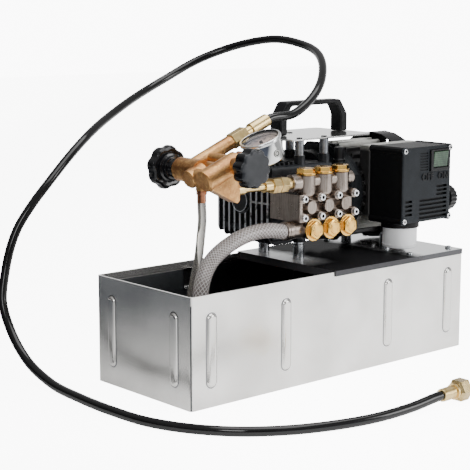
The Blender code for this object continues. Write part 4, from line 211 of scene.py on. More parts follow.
def new_finish(name, **constants):
    """A finish with the shader's own sockets set, and its nodes as a wire to draw from."""
    made = bpy.data.materials.new(name)
    made.use_nodes = True
    shader = made.node_tree.nodes["Principled BSDF"]
    for socket, value in constants.items():
        shader.inputs[socket.replace("_", " ")].default_value = value
    return made, shader, Wire(made.node_tree)


def drive(shader, wire, socket):
    """What varies over the surface reaches one socket of the shader."""
    wire.tree.links.new(wire.socket, shader.inputs[socket])


def fresh(name, add, **settings):
    """A new shape under its own name, made with everything deselected."""
    bpy.ops.object.select_all(action="DESELECT")
    add(**settings)
    piece = bpy.context.object
    piece.name = name
    return piece


floor = fresh(
    "paper_floor", bpy.ops.mesh.primitive_plane_add, size=FLOOR_SIZE, location=(0, 0, -FLOOR_DROP)
)
paper, paper_shader, paper_wire = new_finish("white_paper", Roughness=0.9)
# Painted for the metal to mirror: a dark band on the paper, and a glow at its front right.
far_left = paper_wire.place("Y") * 0.7 - paper_wire.place("X") * 0.7
near_lens = paper_wire.place("X") * -0.75 - paper_wire.place("Y") * 0.66
left_band = far_left.between(0.20, 0.70) * far_left.between(1.35, 1.10)
dark_paper = left_band.larger(near_lens.between(0.36, 0.62))
drive(paper_shader, dark_paper.mix((0.88, 0.88, 0.88), (0.028, 0.038, 0.052)), "Base Color")
paper_glow = paper_wire.node("Emission", {}, {"Strength": PAPER_WHITE * PAPER_SHARE})
paper_plain = Wire(paper.node_tree, paper_shader.outputs[0])
paper_sum = paper_wire.node("AddShader", {}, {0: paper_plain, 1: paper_glow})
right_front = paper_wire.place("X") * 0.65 - paper_wire.place("Y") * 0.74
near_tank = right_front.between(-0.20, 0.95) * right_front.between(1.25, 1.00) * NEAR_FLOOR_LIGHT
paper_light = right_front.between(-0.35, 0.75) * right_front.between(2.4, 1.6) * FLOOR_LIGHT + near_tank
drive(paper_shader, paper_light.mix((0, 0, 0), (1, 1, 1)), "Emission Color")
paper_shader.inputs["Emission Strength"].default_value = 1.0
paper_seen = paper_wire.node("LightPath", {}, {}, "Is Camera Ray")
paper_out = paper_wire.node("MixShader", {}, {0: paper_seen, 1: paper_plain, 2: paper_sum})
paper.node_tree.links.new(paper_out.socket, paper.node_tree.nodes["Material Output"].inputs["Surface"])
floor.data.materials.append(paper)


# Tank: an open box of folded stainless sheet with a rolled hem and pressed beads on every side. It is
# satin outside; inside it is duller and painted nearly black as shade.
INSIDE_HALF_WIDTH = 0.0944
INSIDE_HALF_LENGTH = 0.2494
HEM_FOOT = 0.1305


def only(piece):
    """Nothing but this piece is selected, and it is the active one."""
    bpy.ops.object.select_all(action="DESELECT")
    piece.select_set(True)
    bpy.context.view_layer.objects.active = piece


def into(mode):
    """Edit mode or object mode."""
    bpy.ops.object.mode_set(mode=mode)


def softened(piece, width, segments=2, angle=35.0):
    """Broken edges and smooth rounds on a finished shape, with its flat faces left flat."""
    only(piece)
    if width:
        edges = piece.modifiers.new("broken_edges", "BEVEL")
        edges.width = width
        edges.segments = segments
        edges.limit_method = "ANGLE"
        edges.angle_limit = math.radians(angle)
        bpy.ops.object.modifier_apply(modifier=edges.name)
    bpy.ops.object.shade_smooth_by_angle(angle=math.radians(angle))
    flats = piece.modifiers.new("flat_faces", "WEIGHTED_NORMAL")
    flats.keep_sharp = True
    bpy.ops.object.modifier_apply(modifier=flats.name)


def dressed(node, finish, width=0.0004, segments=2, angle=35.0):
    """The frame's own shape with its points merged and its edges broken, in a better finish."""
    piece = nodes[node].copy()
    piece.data = nodes[node].data.copy()
    for key in list(piece.keys()):
        del piece[key]
    piece.name = node + "_finish"
    piece.parent = None
    bpy.context.collection.objects.link(piece)
    only(piece)
    into("EDIT")
    bpy.ops.mesh.select_all(action="SELECT")
    bpy.ops.mesh.remove_doubles(threshold=0.00001)
    bpy.ops.mesh.dissolve_limited(angle_limit=math.radians(0.5))
    into("OBJECT")
    piece.data.materials.clear()
    piece.data.materials.append(finish)
    softened(piece, width, segments, angle)
    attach(piece, body_of[node])
    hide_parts(node)


def bumped(shader, height, depth, strength=1.0):
    """A height that the light sees, in metres from its lowest to its highest point."""
    relief = height.node("Bump", {}, {"Height": height, "Distance": depth, "Strength": strength})
    drive(shader, relief, "Normal")


sheet, shader, wire = new_finish("satin_stainless", Metallic=1.0)
stain = wire.noise(9, 5.0, 0.6)
# The inside faces are painted nearly black as shade.
inside = abs(wire.place("Y")).between(INSIDE_HALF_WIDTH, INSIDE_HALF_WIDTH - 0.0003)
inside = inside * abs(wire.place("X")).between(INSIDE_HALF_LENGTH, INSIDE_HALF_LENGTH - 0.0003)
inside = inside * wire.place("Z").between(HEM_FOOT, HEM_FOOT - 0.002)
outside_tone = stain.between(0.35, 0.65).mix((0.70, 0.686, 0.66), (0.93, 0.917, 0.89))
inside_shade_tone = stain.between(0.35, 0.65).mix((0.045, 0.050, 0.055), (0.10, 0.105, 0.11))
drive(shader, inside.mix(outside_tone, inside_shade_tone), "Base Color")
rolling = wire.noise(700, 2.0, 0.5, (0.03, 0.03, 1))
drive(shader, stain * 0.08 + rolling * 0.05 + 0.17 + inside * 0.2, "Roughness")
waves = wire.noise(6, 2.0, 0.4)
bumped(shader, waves * 40 + rolling * 0.4, 0.00004, 0.6)
dressed("tank_shell", sheet, 0.0007, 3)


# Pressed beads: long round-ended swells that stiffen the sheet, four along each side and two on each end.
# A dark line is painted round each bead's foot as the shade in its crease.
BEAD_RADIUS = 0.0090
BEAD_LOW = 0.0235
BEAD_HIGH = 0.1185
BEAD_STEPS = (
    (0.0002, 0.0002),
    (0.0015, 0.0001),
    (0.0005, 0.0010),
    (0.0007, 0.0009),
    (0.0009, 0.0006),
    (0.0012, 0.0003),
    (0.0014, 0.00005),
)
SIDE_BEAD_XS = (-0.2180, -0.0945, 0.0945, 0.2180)
END_BEAD_YS = (-0.0631, 0.0631)
TANK_HALF_WIDTH = 0.0949
TANK_HALF_LENGTH = 0.2499
WALL_PLANE_X = 0.2500
WALL_PLANE_Y = 0.0950


def painted(shader, tone, roughness):
    """Colour and roughness, where both vary over the surface."""
    drive(shader, tone, "Base Color")
    drive(shader, roughness, "Roughness")


creased, shader, wire = new_finish("creased_stainless", Metallic=1.0)
stain = wire.noise(9, 5.0, 0.6)
proud = (abs(wire.place("Y")) - WALL_PLANE_Y).larger(abs(wire.place("X")) - WALL_PLANE_X)
# The foot of each bead is painted dark as shade.
crease_shade = proud.between(0.0006, 0.0003)
swell_tone = stain.between(0.3, 0.75).mix((0.76, 0.745, 0.715), (0.87, 0.857, 0.83))
painted(shader, crease_shade.mix(swell_tone, (0.30, 0.30, 0.305)), stain * 0.08 + crease_shade * 0.2 + 0.16)


def pick(piece, wanted, kind="VERT"):
    """In edit mode, nothing but the corners or faces that the test wants is selected."""
    bpy.ops.mesh.select_mode(type=kind)
    bpy.ops.mesh.select_all(action="DESELECT")
    work = bmesh.from_edit_mesh(piece.data)
    for part in work.verts if kind == "VERT" else work.faces:
        part.select_set(wanted(part))
    work.select_flush_mode()
    bmesh.update_edit_mesh(piece.data)


def applied():
    """The selected piece's own turn, size and place go into its mesh."""
    bpy.ops.object.transform_apply(location=True, rotation=True, scale=True)


def fitted(piece, finish, width=0.0003, segments=2, angle=35.0, body="pump_unit"):
    """A new piece gets its broken edges and its finish, and rides where it is fixed."""
    only(piece)
    applied()
    piece.data.materials.clear()
    piece.data.materials.append(finish)
    softened(piece, width, segments, angle)
    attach(piece, body)
    return piece


def another(piece, name):
    """A second like piece with its own mesh."""
    twin = piece.copy()
    twin.data = piece.data.copy()
    twin.name = name
    bpy.context.collection.objects.link(twin)
    return twin


round_end = {"vertices": 36, "radius": BEAD_RADIUS, "fill_type": "NGON", "location": (0, 0, 0)}
bead = fresh("pressed_bead", bpy.ops.mesh.primitive_circle_add, **round_end)
into("EDIT")
pick(bead, lambda corner: corner.co.y > 0.0001)
bpy.ops.transform.translate(value=(0, BEAD_HIGH - BEAD_LOW - BEAD_RADIUS * 2, 0))
pick(bead, lambda corner: True)
bpy.ops.transform.translate(value=(0, BEAD_RADIUS, 0))
bpy.ops.mesh.select_mode(type="FACE")
bpy.ops.mesh.select_all(action="SELECT")
for inwards, outwards in BEAD_STEPS:
    bpy.ops.mesh.inset(thickness=inwards, depth=outwards)
into("OBJECT")
bead_places = [((x, -TANK_HALF_WIDTH, BEAD_LOW), 0) for x in SIDE_BEAD_XS]
bead_places += [((x, TANK_HALF_WIDTH, BEAD_LOW), 180) for x in SIDE_BEAD_XS]
bead_places += [((-TANK_HALF_LENGTH, y, BEAD_LOW), -90) for y in END_BEAD_YS]
bead_places += [((TANK_HALF_LENGTH, y, BEAD_LOW), 90) for y in END_BEAD_YS]
for i, (place, turn) in enumerate(bead_places):
    one = another(bead, f"tank_bead_{i + 1}")
    one.rotation_euler = (math.radians(90), 0, math.radians(turn))
    one.location = place
    one.scale = (1, 1, 0.5 if turn == 90 else 1)
    fitted(one, creased, 0, 1, 60.0)
bpy.data.objects.remove(bead)


# Hose clip: a spring clip of bright wire strip, pushed over the tank's back wall to hold a hose end.
CLIP_X = -0.1018
CLIP_WALL_Y = 0.0936
CLIP_MIDDLE_Z = 0.1147
CLIP_WIDTH = 0.012
CLIP_HEIGHT = 0.020
CLIP_THICKNESS = 0.0008
CLIP_CURL = 0.005


def metal(name, bright, dark, roughness, spread, grain, bump=0.0, stretch=(1, 1, 1), metallic=1.0):
    """A bare or cast metal: its colour drifts between two tones, and its roughness and relief with it."""
    made, shader, wire = new_finish(name, Metallic=metallic)
    cloud = wire.noise(grain, 4.0, 0.55, stretch)
    painted(shader, cloud.between(0.3, 0.7).mix(dark, bright), cloud * spread + (roughness - spread / 2))
    if bump:
        bumped(shader, wire.noise(grain * 9, 3.0, 0.6, stretch), bump)
    return made


bright_strip = metal("bright_strip", (0.75, 0.75, 0.74), (0.60, 0.60, 0.60), 0.18, 0.1, 220, 0.00001)
clip_place = (CLIP_X, CLIP_WALL_Y - CLIP_THICKNESS, CLIP_MIDDLE_Z)
clip = fresh("hose_clip", bpy.ops.mesh.primitive_cube_add, size=1, location=clip_place)
clip.scale = (CLIP_WIDTH, CLIP_THICKNESS, CLIP_HEIGHT)
applied()
into("EDIT")
pick(clip, lambda face: face.normal.z > 0.5, "FACE")
bpy.ops.mesh.extrude_region_move(TRANSFORM_OT_translate={"value": (0, -CLIP_CURL * 0.4, CLIP_CURL)})
bpy.ops.mesh.extrude_region_move(TRANSFORM_OT_translate={"value": (0, -CLIP_CURL, CLIP_CURL * 0.5)})
pick(clip, lambda face: face.normal.z < -0.5 and face.calc_center_median().z < CLIP_MIDDLE_Z, "FACE")
bpy.ops.mesh.extrude_region_move(TRANSFORM_OT_translate={"value": (0, -CLIP_CURL * 0.5, -CLIP_CURL * 0.5)})
bpy.ops.mesh.extrude_region_move(TRANSFORM_OT_translate={"value": (0, -CLIP_CURL, CLIP_CURL * 0.2)})
into("OBJECT")
fitted(clip, bright_strip, 0.0002)


# Deck plate: polished stainless sheet laid in the tank's right half on its own folded lips. At the back of
# the left end it is rougher and less metallic, with its colour painted pale as a reflection; under the pump
# its colour is painted nearly black and less metallic as a reflection of the dark pump; its cut edges are
# painted dark as shadow.
DECK_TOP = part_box("deck_plate")[1][2]

polish, shader, wire = new_finish("polished_deck", Specular_IOR_Level=0.0)
mottle = wire.noise(26, 4.0, 0.6)
wander = wire.place("X") + mottle * 0.03
# Painted reflections: pale at the back of the left end, nearly black under the pump.
pale_reflection = wander.between(0.060, 0.038) * wire.place("Y").between(-0.055, -0.005)
pump_reflection = (1 - pale_reflection) * wander.between(0.182, 0.160)
clean_tone = mottle.between(0.3, 0.7).mix((0.34, 0.35, 0.36), (0.46, 0.47, 0.475))
clean_tone = pale_reflection.mix(clean_tone, (0.95, 0.965, 0.97))
# The cut edges are painted dark as shadow.
edge_shadow = wire.place("Z").between(DECK_TOP - 0.0002, DECK_TOP - 0.0004)
plate_tone = pump_reflection.mix(clean_tone, (0.014, 0.014, 0.015))
drive(shader, edge_shadow.mix(plate_tone, (0.085, 0.085, 0.09)), "Base Color")
drive(shader, mottle.between(0.35, 0.7) * 0.08 + pale_reflection * 0.20 + 0.10, "Roughness")
drive(shader, 1 - pump_reflection * 0.90 - pale_reflection * 0.45, "Metallic")
bumped(shader, wire.noise(500, 2.0), 0.000004, 0.5)
dressed("deck_plate", polish, 0.0003, 2)


# Deck screws: zinc-plated pan heads with a cross recess, one near each corner of the deck plate.
SCREW_RECESS_DEPTH = 0.0016
SCREW_RECESS_WIDTH = 0.0009
SCREW_RECESS_REACH = 0.0028


def turned(name, stations, sides=32, lobes=0, dip=0.0):
    """A disc drawn out along Z through (height, radius) stations, its rim drawn in between its lobes."""
    height, radius = stations[0]
    disc = {"vertices": sides, "radius": radius, "fill_type": "NGON", "location": (0, 0, height)}
    piece = fresh(name, bpy.ops.mesh.primitive_circle_add, **disc)
    applied()
    into("EDIT")
    steps = sides // lobes if lobes else 0
    for step in range(1, steps):
        drawn_in = 1 - dip * (0.5 - 0.5 * math.cos(step / steps * math.tau)) ** 1.6
        pick(piece, lambda corner: corner.index % steps == step)
        bpy.ops.transform.resize(value=(drawn_in, drawn_in, 1), center_override=(0, 0, height))
    bpy.ops.mesh.select_mode(type="FACE")
    bpy.ops.mesh.select_all(action="SELECT")
    for next_height, next_radius in stations[1:]:
        bpy.ops.mesh.extrude_region_move(TRANSFORM_OT_translate={"value": (0, 0, next_height - height)})
        grown = next_radius / radius
        bpy.ops.transform.resize(value=(grown, grown, 1), center_override=(0, 0, next_height))
        height, radius = next_height, next_radius
    bpy.ops.mesh.select_all(action="SELECT")
    bpy.ops.mesh.remove_doubles(threshold=0.000001)
    bpy.ops.mesh.normals_make_consistent(inside=False)
    into("OBJECT")
    return piece


def laid(piece, place, along, spin=0.0):
    """The piece is turned from Z to its own axis and set at its place."""
    only(piece)
    own_axis = Vector(along).to_track_quat("Z", "Y").to_matrix()
    piece.rotation_euler = (own_axis @ Matrix.Rotation(spin, 3, "Z")).to_euler()
    piece.location = place
    applied()
    return piece


def holed(piece, cutter):
    """What the cutter fills is taken out of the piece, and the cutter is thrown away."""
    only(piece)
    cut = piece.modifiers.new("cut", "BOOLEAN")
    cut.operation = "DIFFERENCE"
    cut.solver = "EXACT"
    cut.object = cutter
    bpy.ops.object.modifier_apply(modifier=cut.name)
    bpy.data.objects.remove(cutter)


def screwed(model, name, place, along, spin, finish, width):
    """A copy of one screw or bolt, turned on its own axis and screwed in at its place."""
    one = laid(another(model, name), place, along, spin)
    return fitted(one, finish, width)


def middle_of(low, high):
    """The point half way between two corners."""
    return tuple((one + two) / 2 for one, two in zip(low, high))


def in_radii(radius, *stations):
    """Stations whose second number is a share of the piece's own radius."""
    return tuple((height, radius * share) for height, share in stations)


zinc = metal("zinc_plate", (0.62, 0.64, 0.66), (0.40, 0.42, 0.44), 0.22, 0.12, 300)
low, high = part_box("deck_screw_1")
screw_radius = (high[0] - low[0]) / 2
screw_rise = 0.003
pan_stations = in_radii(
    screw_radius,
    (-screw_rise * 0.1, 1),
    (screw_rise * 0.45, 1),
    (screw_rise * 0.8, 0.86),
    (screw_rise, 0.55),
)
pan_head = turned("pan_head", pan_stations)
for across in (0, 1):
    blade = fresh("recess_blade", bpy.ops.mesh.primitive_cube_add, size=1, location=(0, 0, screw_rise))
    reach = (SCREW_RECESS_REACH * 2, SCREW_RECESS_WIDTH)
    blade.scale = (reach[across], reach[1 - across], SCREW_RECESS_DEPTH * 2)
    applied()
    holed(pan_head, blade)
for i in range(4):
    low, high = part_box(f"deck_screw_{i + 1}")
    place = (*middle_of(low, high)[:2], high[2] - screw_rise)
    screw = screwed(pan_head, f"deck_screw_{i + 1}_head", place, (0, 0, 1), 0.4 + i, zinc, 0.00015)
    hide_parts(f"deck_screw_{i + 1}")
bpy.data.objects.remove(pan_head)


# Stand-off posts: turned steel pillars with zinc plate, bright on the four between the deck and the pump
# and dull on the four between the crankcase and the top plate.
dull_zinc = metal("dull_zinc_plate", (0.36, 0.38, 0.40), (0.22, 0.23, 0.25), 0.34, 0.12, 300)
for i in range(4):
    dressed(f"support_post_{i + 1}", zinc, 0.0004)
    dressed(f"plate_post_{i + 1}", dull_zinc, 0.0004)


# Crankcase: one aluminium casting with cooling fins, coated dark grey. On its left face the fins' outer
# edges are painted pale grey in patches, and are a little glossier there.
CASE_LEFT_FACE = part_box("crankcase")[0][0]

casting, shader, wire = new_finish("dark_casting", Metallic=0.35, Specular_IOR_Level=0.35)
cloud = wire.noise(120, 4.0)
# The fins' outer edges on the left face are painted pale grey in patches.
pale_fin_edges = wire.place("X").between(CASE_LEFT_FACE + 0.0011, CASE_LEFT_FACE + 0.0002)
pale_fin_edges = pale_fin_edges * wire.noise(90, 4.0, 0.65).between(0.32, 0.46)
coat_tone = cloud.between(0.3, 0.7).mix((0.016, 0.018, 0.021), (0.030, 0.033, 0.037))
painted(shader, pale_fin_edges.mix(coat_tone, (0.74, 0.77, 0.80)), cloud * 0.2 + 0.36 - pale_fin_edges * 0.1)
bumped(shader, wire.noise(1500, 3.0, 0.6), 0.00014)
dressed("crankcase", casting, 0.0006, 2)
dressed("crankcase_rear_cover", casting, 0.0006, 2)
dressed("motor_end_shield", casting, 0.0008, 2)
plain_casting = metal(
    "casting_without_pale_edges", (0.020, 0.022, 0.025), (0.010, 0.011, 0.013), 0.48, 0.2, 120, 0.00014, metallic=0.0
)
dressed("crankshaft_end_cover", plain_casting, 0.0006, 2)


# End cover ring and screws: a spring ring holds the crankshaft's end cover, and four hexagon screws hold
# the crankcase's rear cover.
RING_WIDTH = 0.0012
RING_DEPTH = 0.0012
COVER_SCREW_RADIUS = 0.0036
COVER_SCREW_RISE = 0.0030
COVER_SCREW_INSET = 0.0075
COVER_SCREW_SINK = 0.0052

low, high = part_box("crankshaft_end_cover")
middle_y, middle_z = middle_of(low, high)[1:]
ring_radius = (high[1] - low[1]) / 2
ring_stations = (
    (0, ring_radius),
    (RING_DEPTH, ring_radius),
    (RING_DEPTH, ring_radius - RING_WIDTH),
    (RING_DEPTH * 0.3, ring_radius - RING_WIDTH * 1.1),
)
ring_place = (low[0] + RING_DEPTH * 0.6, middle_y, middle_z)
ring = laid(turned("end_cover_ring", ring_stations, 48), ring_place, (-1, 0, 0))
fitted(ring, zinc, 0.0002)
ring.data.materials.append(plain_casting)
for face in ring.data.polygons:
    if abs(face.center.y - middle_y) + abs(face.center.z - middle_z) < ring_radius * 0.5:
        face.material_index = 1

low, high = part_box("crankcase_rear_cover")
hex_stations = in_radii(
    COVER_SCREW_RADIUS,
    (-0.0002, 1.35),
    (0.0006, 1.35),
    (0.0006, 0.98),
    (COVER_SCREW_RISE, 0.98),
    (COVER_SCREW_RISE + 0.0004, 0.8),
)
cover_screw = turned("cover_screw", hex_stations, 6)
count = 0
for x in (low[0] + COVER_SCREW_INSET, high[0] - COVER_SCREW_INSET):
    for z in (low[2] + COVER_SCREW_INSET, high[2] - COVER_SCREW_INSET):
        count += 1
        place = (x, high[1] - COVER_SCREW_SINK, z)
        screwed(cover_screw, f"rear_cover_screw_{count}", place, (0, 1, 0), count * 0.7, zinc, 0.0002)
bpy.data.objects.remove(cover_screw)


# Oil plugs: a ribbed black filler cap on the crankcase's shoulder and an amber drain plug under its sump,
# both moulded and screwed in.
BLACK_TONES = ((0.004, 0.004, 0.005), (0.008, 0.008, 0.009))


def moulded(name, colour, other, roughness, spread=0.12, grain=900.0, bump=0.00005, **constants):
    """A moulded plastic or rubber: fine skin grain, and faint wear in its tone and gloss."""
    made, shader, wire = new_finish(name, **constants)
    cloud = wire.noise(grain / 15, 3.0)
    painted(shader, cloud.between(0.35, 0.7).mix(colour, other), cloud * spread + (roughness - spread / 2))
    bumped(shader, wire.noise(grain, 2.0), bump)
    return made


black = moulded("black_moulding", *BLACK_TONES, 0.34, Specular_IOR_Level=0.28)
amber = moulded("amber_moulding", (0.85, 0.40, 0.05), (0.72, 0.30, 0.04), 0.25)
dressed("oil_filler_cap", black, 0.0005)
dressed("oil_drain_plug", amber, 0.0006)


# Pump head: a brass forging with a brownish nickel tone. Its three valve towers, its side ports and its
# front bosses are machined, and finer upright tool marks show on the towers.
forged_nickel, shader, wire = new_finish("nickel_forging", Metallic=1.0)
cloud = wire.noise(70, 4.0, 0.55)
marks = wire.noise(1400, 2.0, 0.5, (1, 1, 0.03))
tone = cloud.between(0.3, 0.7).mix((0.190, 0.150, 0.125), (0.300, 0.250, 0.215))
painted(shader, marks.between(0.35, 0.75).mix(tone, (0.42, 0.37, 0.33)), cloud * 0.14 + 0.22)
bumped(shader, wire.noise(1100, 3.0, 0.6) + marks * 0.3, 0.00006)
dressed("pump_head", forged_nickel, 0.0007, 3)


# Head screws: eight hexagon socket screws with plain round heads hold the pump head on the crankcase, one
# in each ear.
HEAD_SCREW_RADIUS = 0.0046
HEAD_SCREW_HEIGHT = 0.0045
HEAD_SCREW_SOCKET = 0.0026
HEAD_SCREW_XS = (-0.0336, -0.0022, 0.0292, 0.0606)
HEAD_SCREW_ROW = 0.01245
HEAD_FACE_Y = -0.0623
HEAD_ROW_MIDDLE = 0.222

bright_screw = metal("bright_screw", (0.88, 0.89, 0.90), (0.70, 0.71, 0.72), 0.20, 0.08, 500)
# The sockets' black is painted shade.
painted_socket_shade = moulded("painted_socket_shade", *BLACK_TONES, 0.5, Specular_IOR_Level=0.2)


def socket_screw(name, radius, height, socket):
    """A round head with a chamfered rim and a hexagon socket, its under side at zero."""
    stations = (
        (-0.0004, radius * 0.96),
        (height - 0.0005, radius),
        (height, radius * 0.90),
        (height, socket * 1.15),
    )
    screw = turned(name, stations, 36)
    hexagon = {"vertices": 6, "radius": socket, "depth": height * 1.2, "location": (0, 0, height)}
    holed(screw, fresh("socket_cutter", bpy.ops.mesh.primitive_cylinder_add, **hexagon))
    return screw


def darkened(screw, socket, head_top, along):
    """The walls and the floor of a socket are painted black as the shade in the recess."""
    screw.data.materials.append(painted_socket_shade)
    middle = Vector(head_top)
    along = Vector(along).normalized()
    for face in screw.data.polygons:
        reach = face.center - middle
        sunk = -reach.dot(along)
        if sunk > 0.0002 and (reach + along * sunk).length < socket * 0.98:
            face.material_index = 1


head_screw = socket_screw("head_screw", HEAD_SCREW_RADIUS, HEAD_SCREW_HEIGHT, HEAD_SCREW_SOCKET)
count = 0
for x in HEAD_SCREW_XS:
    for level in (-1, 1):
        count += 1
        place = (x, HEAD_FACE_Y, HEAD_ROW_MIDDLE + HEAD_SCREW_ROW * level)
        name = f"head_screw_{count}"
        screw = screwed(head_screw, name, place, (0, -1, 0), count * 0.5, bright_screw, 0.00012)
        darkened(screw, HEAD_SCREW_SOCKET, Vector(place) - Vector((0, HEAD_SCREW_HEIGHT, 0)), (0, -1, 0))
bpy.data.objects.remove(head_screw)


# Valve caps: hexagon plugs turned from brass bar, three screwed down into the towers and three into the
# suction gallery from the front. A fine ring is turned into the button of each front plug.
BUTTON_RING_RADIUS = 0.0052
BUTTON_RING_WIDTH = 0.0005

plug_brass, shader, wire = new_finish("turned_brass", Metallic=1.0)
cloud = wire.noise(160, 4.0)
painted(shader, cloud.between(0.3, 0.7).mix((0.78, 0.44, 0.10), (0.90, 0.57, 0.17)), cloud * 0.12 + 0.14)
bumped(shader, wire.noise(1200, 2.0), 0.00001)
for i in range(3):
    dressed(f"delivery_valve_cap_{i + 1}", plug_brass, 0.0005, 3)
    dressed(f"suction_valve_cap_{i + 1}", plug_brass, 0.0005, 3)
    low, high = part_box(f"suction_valve_cap_{i + 1}")
    ring_stations = (
        (-0.0002, BUTTON_RING_RADIUS + BUTTON_RING_WIDTH),
        (0.00035, BUTTON_RING_RADIUS + BUTTON_RING_WIDTH),
        (0.00035, BUTTON_RING_RADIUS),
        (0.00002, BUTTON_RING_RADIUS * 0.98),
    )
    ring = turned(f"suction_valve_cap_{i + 1}_ring", ring_stations, 36)
    middle = middle_of(low, high)
    laid(ring, (middle[0], low[1], middle[2]), (0, -1, 0))
    fitted(ring, plug_brass, 0.0001)


# Suction tail: a short turned hose tail with the head's own brown tone, screwed in the gallery's end.
dressed("suction_tail", forged_nickel, 0.0004)


# Motor: a finned die-cast housing left bright on top, its side and underside painted nearly black as
# shade, a dark end shield bolted to the crankcase's flange, and a moulded fan cover over the fan on the
# shaft's far end.
HOUSING_MIDDLE_Z = 0.222

die_cast, shader, wire = new_finish("light_casting", Metallic=0.75)
cloud = wire.noise(110, 4.0, 0.55)
# The housing's front side below its crest and its underside are painted nearly black as shade.
shaded_side = wire.place("Z").between(HOUSING_MIDDLE_Z + 0.067, HOUSING_MIDDLE_Z + 0.060)
shaded_side = shaded_side * wire.place("Z").between(0.182, 0.194) * wire.place("Y").between(0.060, 0.030)
shaded_underside = wire.place("Z").between(0.205, 0.185) * wire.place("Y").between(0.0, 0.015)
shaded_side = shaded_side.larger(shaded_underside)
cast_tone = cloud.between(0.3, 0.7).mix((0.42, 0.42, 0.39), (0.60, 0.60, 0.56))
painted(shader, shaded_side.mix(cast_tone, (0.050, 0.050, 0.050)), cloud * 0.15 + 0.38)
bumped(shader, wire.noise(1600, 3.0, 0.6), 0.0001)
dressed("motor_housing", die_cast, 0.0005, 1)
dressed("motor_shaft", zinc, 0.0002)
satin_black = moulded("satin_black_moulding", *BLACK_TONES, 0.38, Specular_IOR_Level=0.22)
dressed("fan_cover", satin_black, 0.0005)
dressed("cooling_fan", satin_black, 0.0005)


# Shield bolts: four plated hexagon bolts clamp the motor's end shield to the crankcase's round flange.
BOLT_RADIUS = 0.0042
BOLT_RISE = 0.0036
BOLT_CIRCLE = 0.0655
BOLT_AXIS_Y = 0.051
BOLT_COUNT = 4
FLANGE_FACE_X = 0.102

bolt_stations = in_radii(
    BOLT_RADIUS,
    (-0.0002, 1.15),
    (0.0007, 1.15),
    (0.0007, 0.9),
    (BOLT_RISE, 0.9),
    (BOLT_RISE + 0.0004, 0.72),
)
bolt = turned("shield_bolt", bolt_stations, 6)
for i in range(BOLT_COUNT):
    angle = math.radians(45 + 90 * i)
    y = BOLT_AXIS_Y + BOLT_CIRCLE * math.cos(angle)
    z = HOUSING_MIDDLE_Z + BOLT_CIRCLE * math.sin(angle)
    screwed(bolt, f"shield_bolt_{i + 1}", (FLANGE_FACE_X, y, z), (-1, 0, 0), i * 0.6, zinc, 0.0002)
bpy.data.objects.remove(bolt)


# Control box: a die-cast base on the motor's side and a charcoal cover of filled plastic, with vents,
# a switch frame and an open ear at each corner.
dressed("terminal_box_base", die_cast, 0.0006, 2)
COVER_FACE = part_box("terminal_box_cover")[0][1]

filled, shader, wire = new_finish("charcoal_moulding", Specular_IOR_Level=0.20)
cloud = wire.noise(60, 3.0)
# Faces set back behind the cover's front, in the vents and on the sides, are painted darker as shade.
shaded_behind_face = wire.place("Y").between(COVER_FACE + 0.0012, COVER_FACE + 0.0022)
speckle = wire.noise(2600, 2.0, 0.6)
face_tone = cloud.between(0.35, 0.7).mix((0.006, 0.0085, 0.0115), (0.011, 0.014, 0.018))
painted(shader, shaded_behind_face.mix(face_tone, (0.003, 0.003, 0.0035)), cloud * 0.12 + speckle * 0.10 + 0.36)
bumped(shader, speckle, 0.00010)
dressed("terminal_box_cover", filled, 0.0010, 3)
dressed("switch_frame", black, 0.0004)


# Cover screws: four socket screws with bright heads, sunk in the ears of the control box's cover.
BOX_SCREW_RADIUS = 0.0036
BOX_SCREW_HEIGHT = 0.0022
BOX_SCREW_SOCKET = 0.0019
BOX_SCREW_XS = (0.1330, 0.2260)
BOX_SCREW_ZS = (0.1900, 0.2865)

ear_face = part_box("terminal_box_cover")[0][1]
box_screw = socket_screw("box_screw", BOX_SCREW_RADIUS, BOX_SCREW_HEIGHT, BOX_SCREW_SOCKET)
count = 0
for x in BOX_SCREW_XS:
    for z in BOX_SCREW_ZS:
        count += 1
        place = (x, ear_face, z)
        name = f"box_screw_{count}"
        screw = screwed(box_screw, name, place, (0, -1, 0), count * 0.4, bright_screw, 0.00012)
        darkened(screw, BOX_SCREW_SOCKET, (x, ear_face - BOX_SCREW_HEIGHT, z), (0, -1, 0))
bpy.data.objects.remove(box_screw)


# Switch: a tilting rocker behind a clear green membrane with a fine woven net in it. Raised words stand
# on the cover below it.
LETTER_SIZE = 0.0140
LETTER_RISE = 0.0010
LETTER_Z = 0.2480
OFF_X = 0.1800
ON_X = 0.2125
NET_PITCH = 0.0030

window, shader, wire = new_finish("green_window", Specular_IOR_Level=0.35)
across = (wire.place("X") * (math.tau / NET_PITCH)).sine()
along = (wire.place("Z") * (math.tau / NET_PITCH)).sine()
net = across.larger(along).between(0.80, 0.97)
cloud = wire.noise(55, 3.0)
mottle = cloud.between(0.35, 0.65).mix((0.025, 0.055, 0.030), (0.070, 0.125, 0.075))
painted(shader, net.mix(mottle, (0.018, 0.030, 0.024)), cloud * 0.1 + 0.10)
dressed("rocker_switch", window, 0.0005, 3)


def lettering(name, words, size, rise, place, across, upward):
    """Raised words as a mesh, with their foot just under the face that they stand on."""
    across = Vector(across).normalized()
    upward = Vector(upward).normalized()
    piece = fresh(name, bpy.ops.object.text_add, location=(0, 0, 0))
    piece.data.body = words
    piece.data.size = size
    piece.data.extrude = rise
    piece.data.align_x = "CENTER"
    piece.data.align_y = "CENTER"
    piece.data.resolution_u = 3
    only(piece)
    bpy.ops.object.convert(target="MESH")
    piece = bpy.context.object
    turn = Matrix((across, upward, across.cross(upward))).transposed()
    piece.rotation_euler = turn.to_euler()
    piece.location = place
    return piece


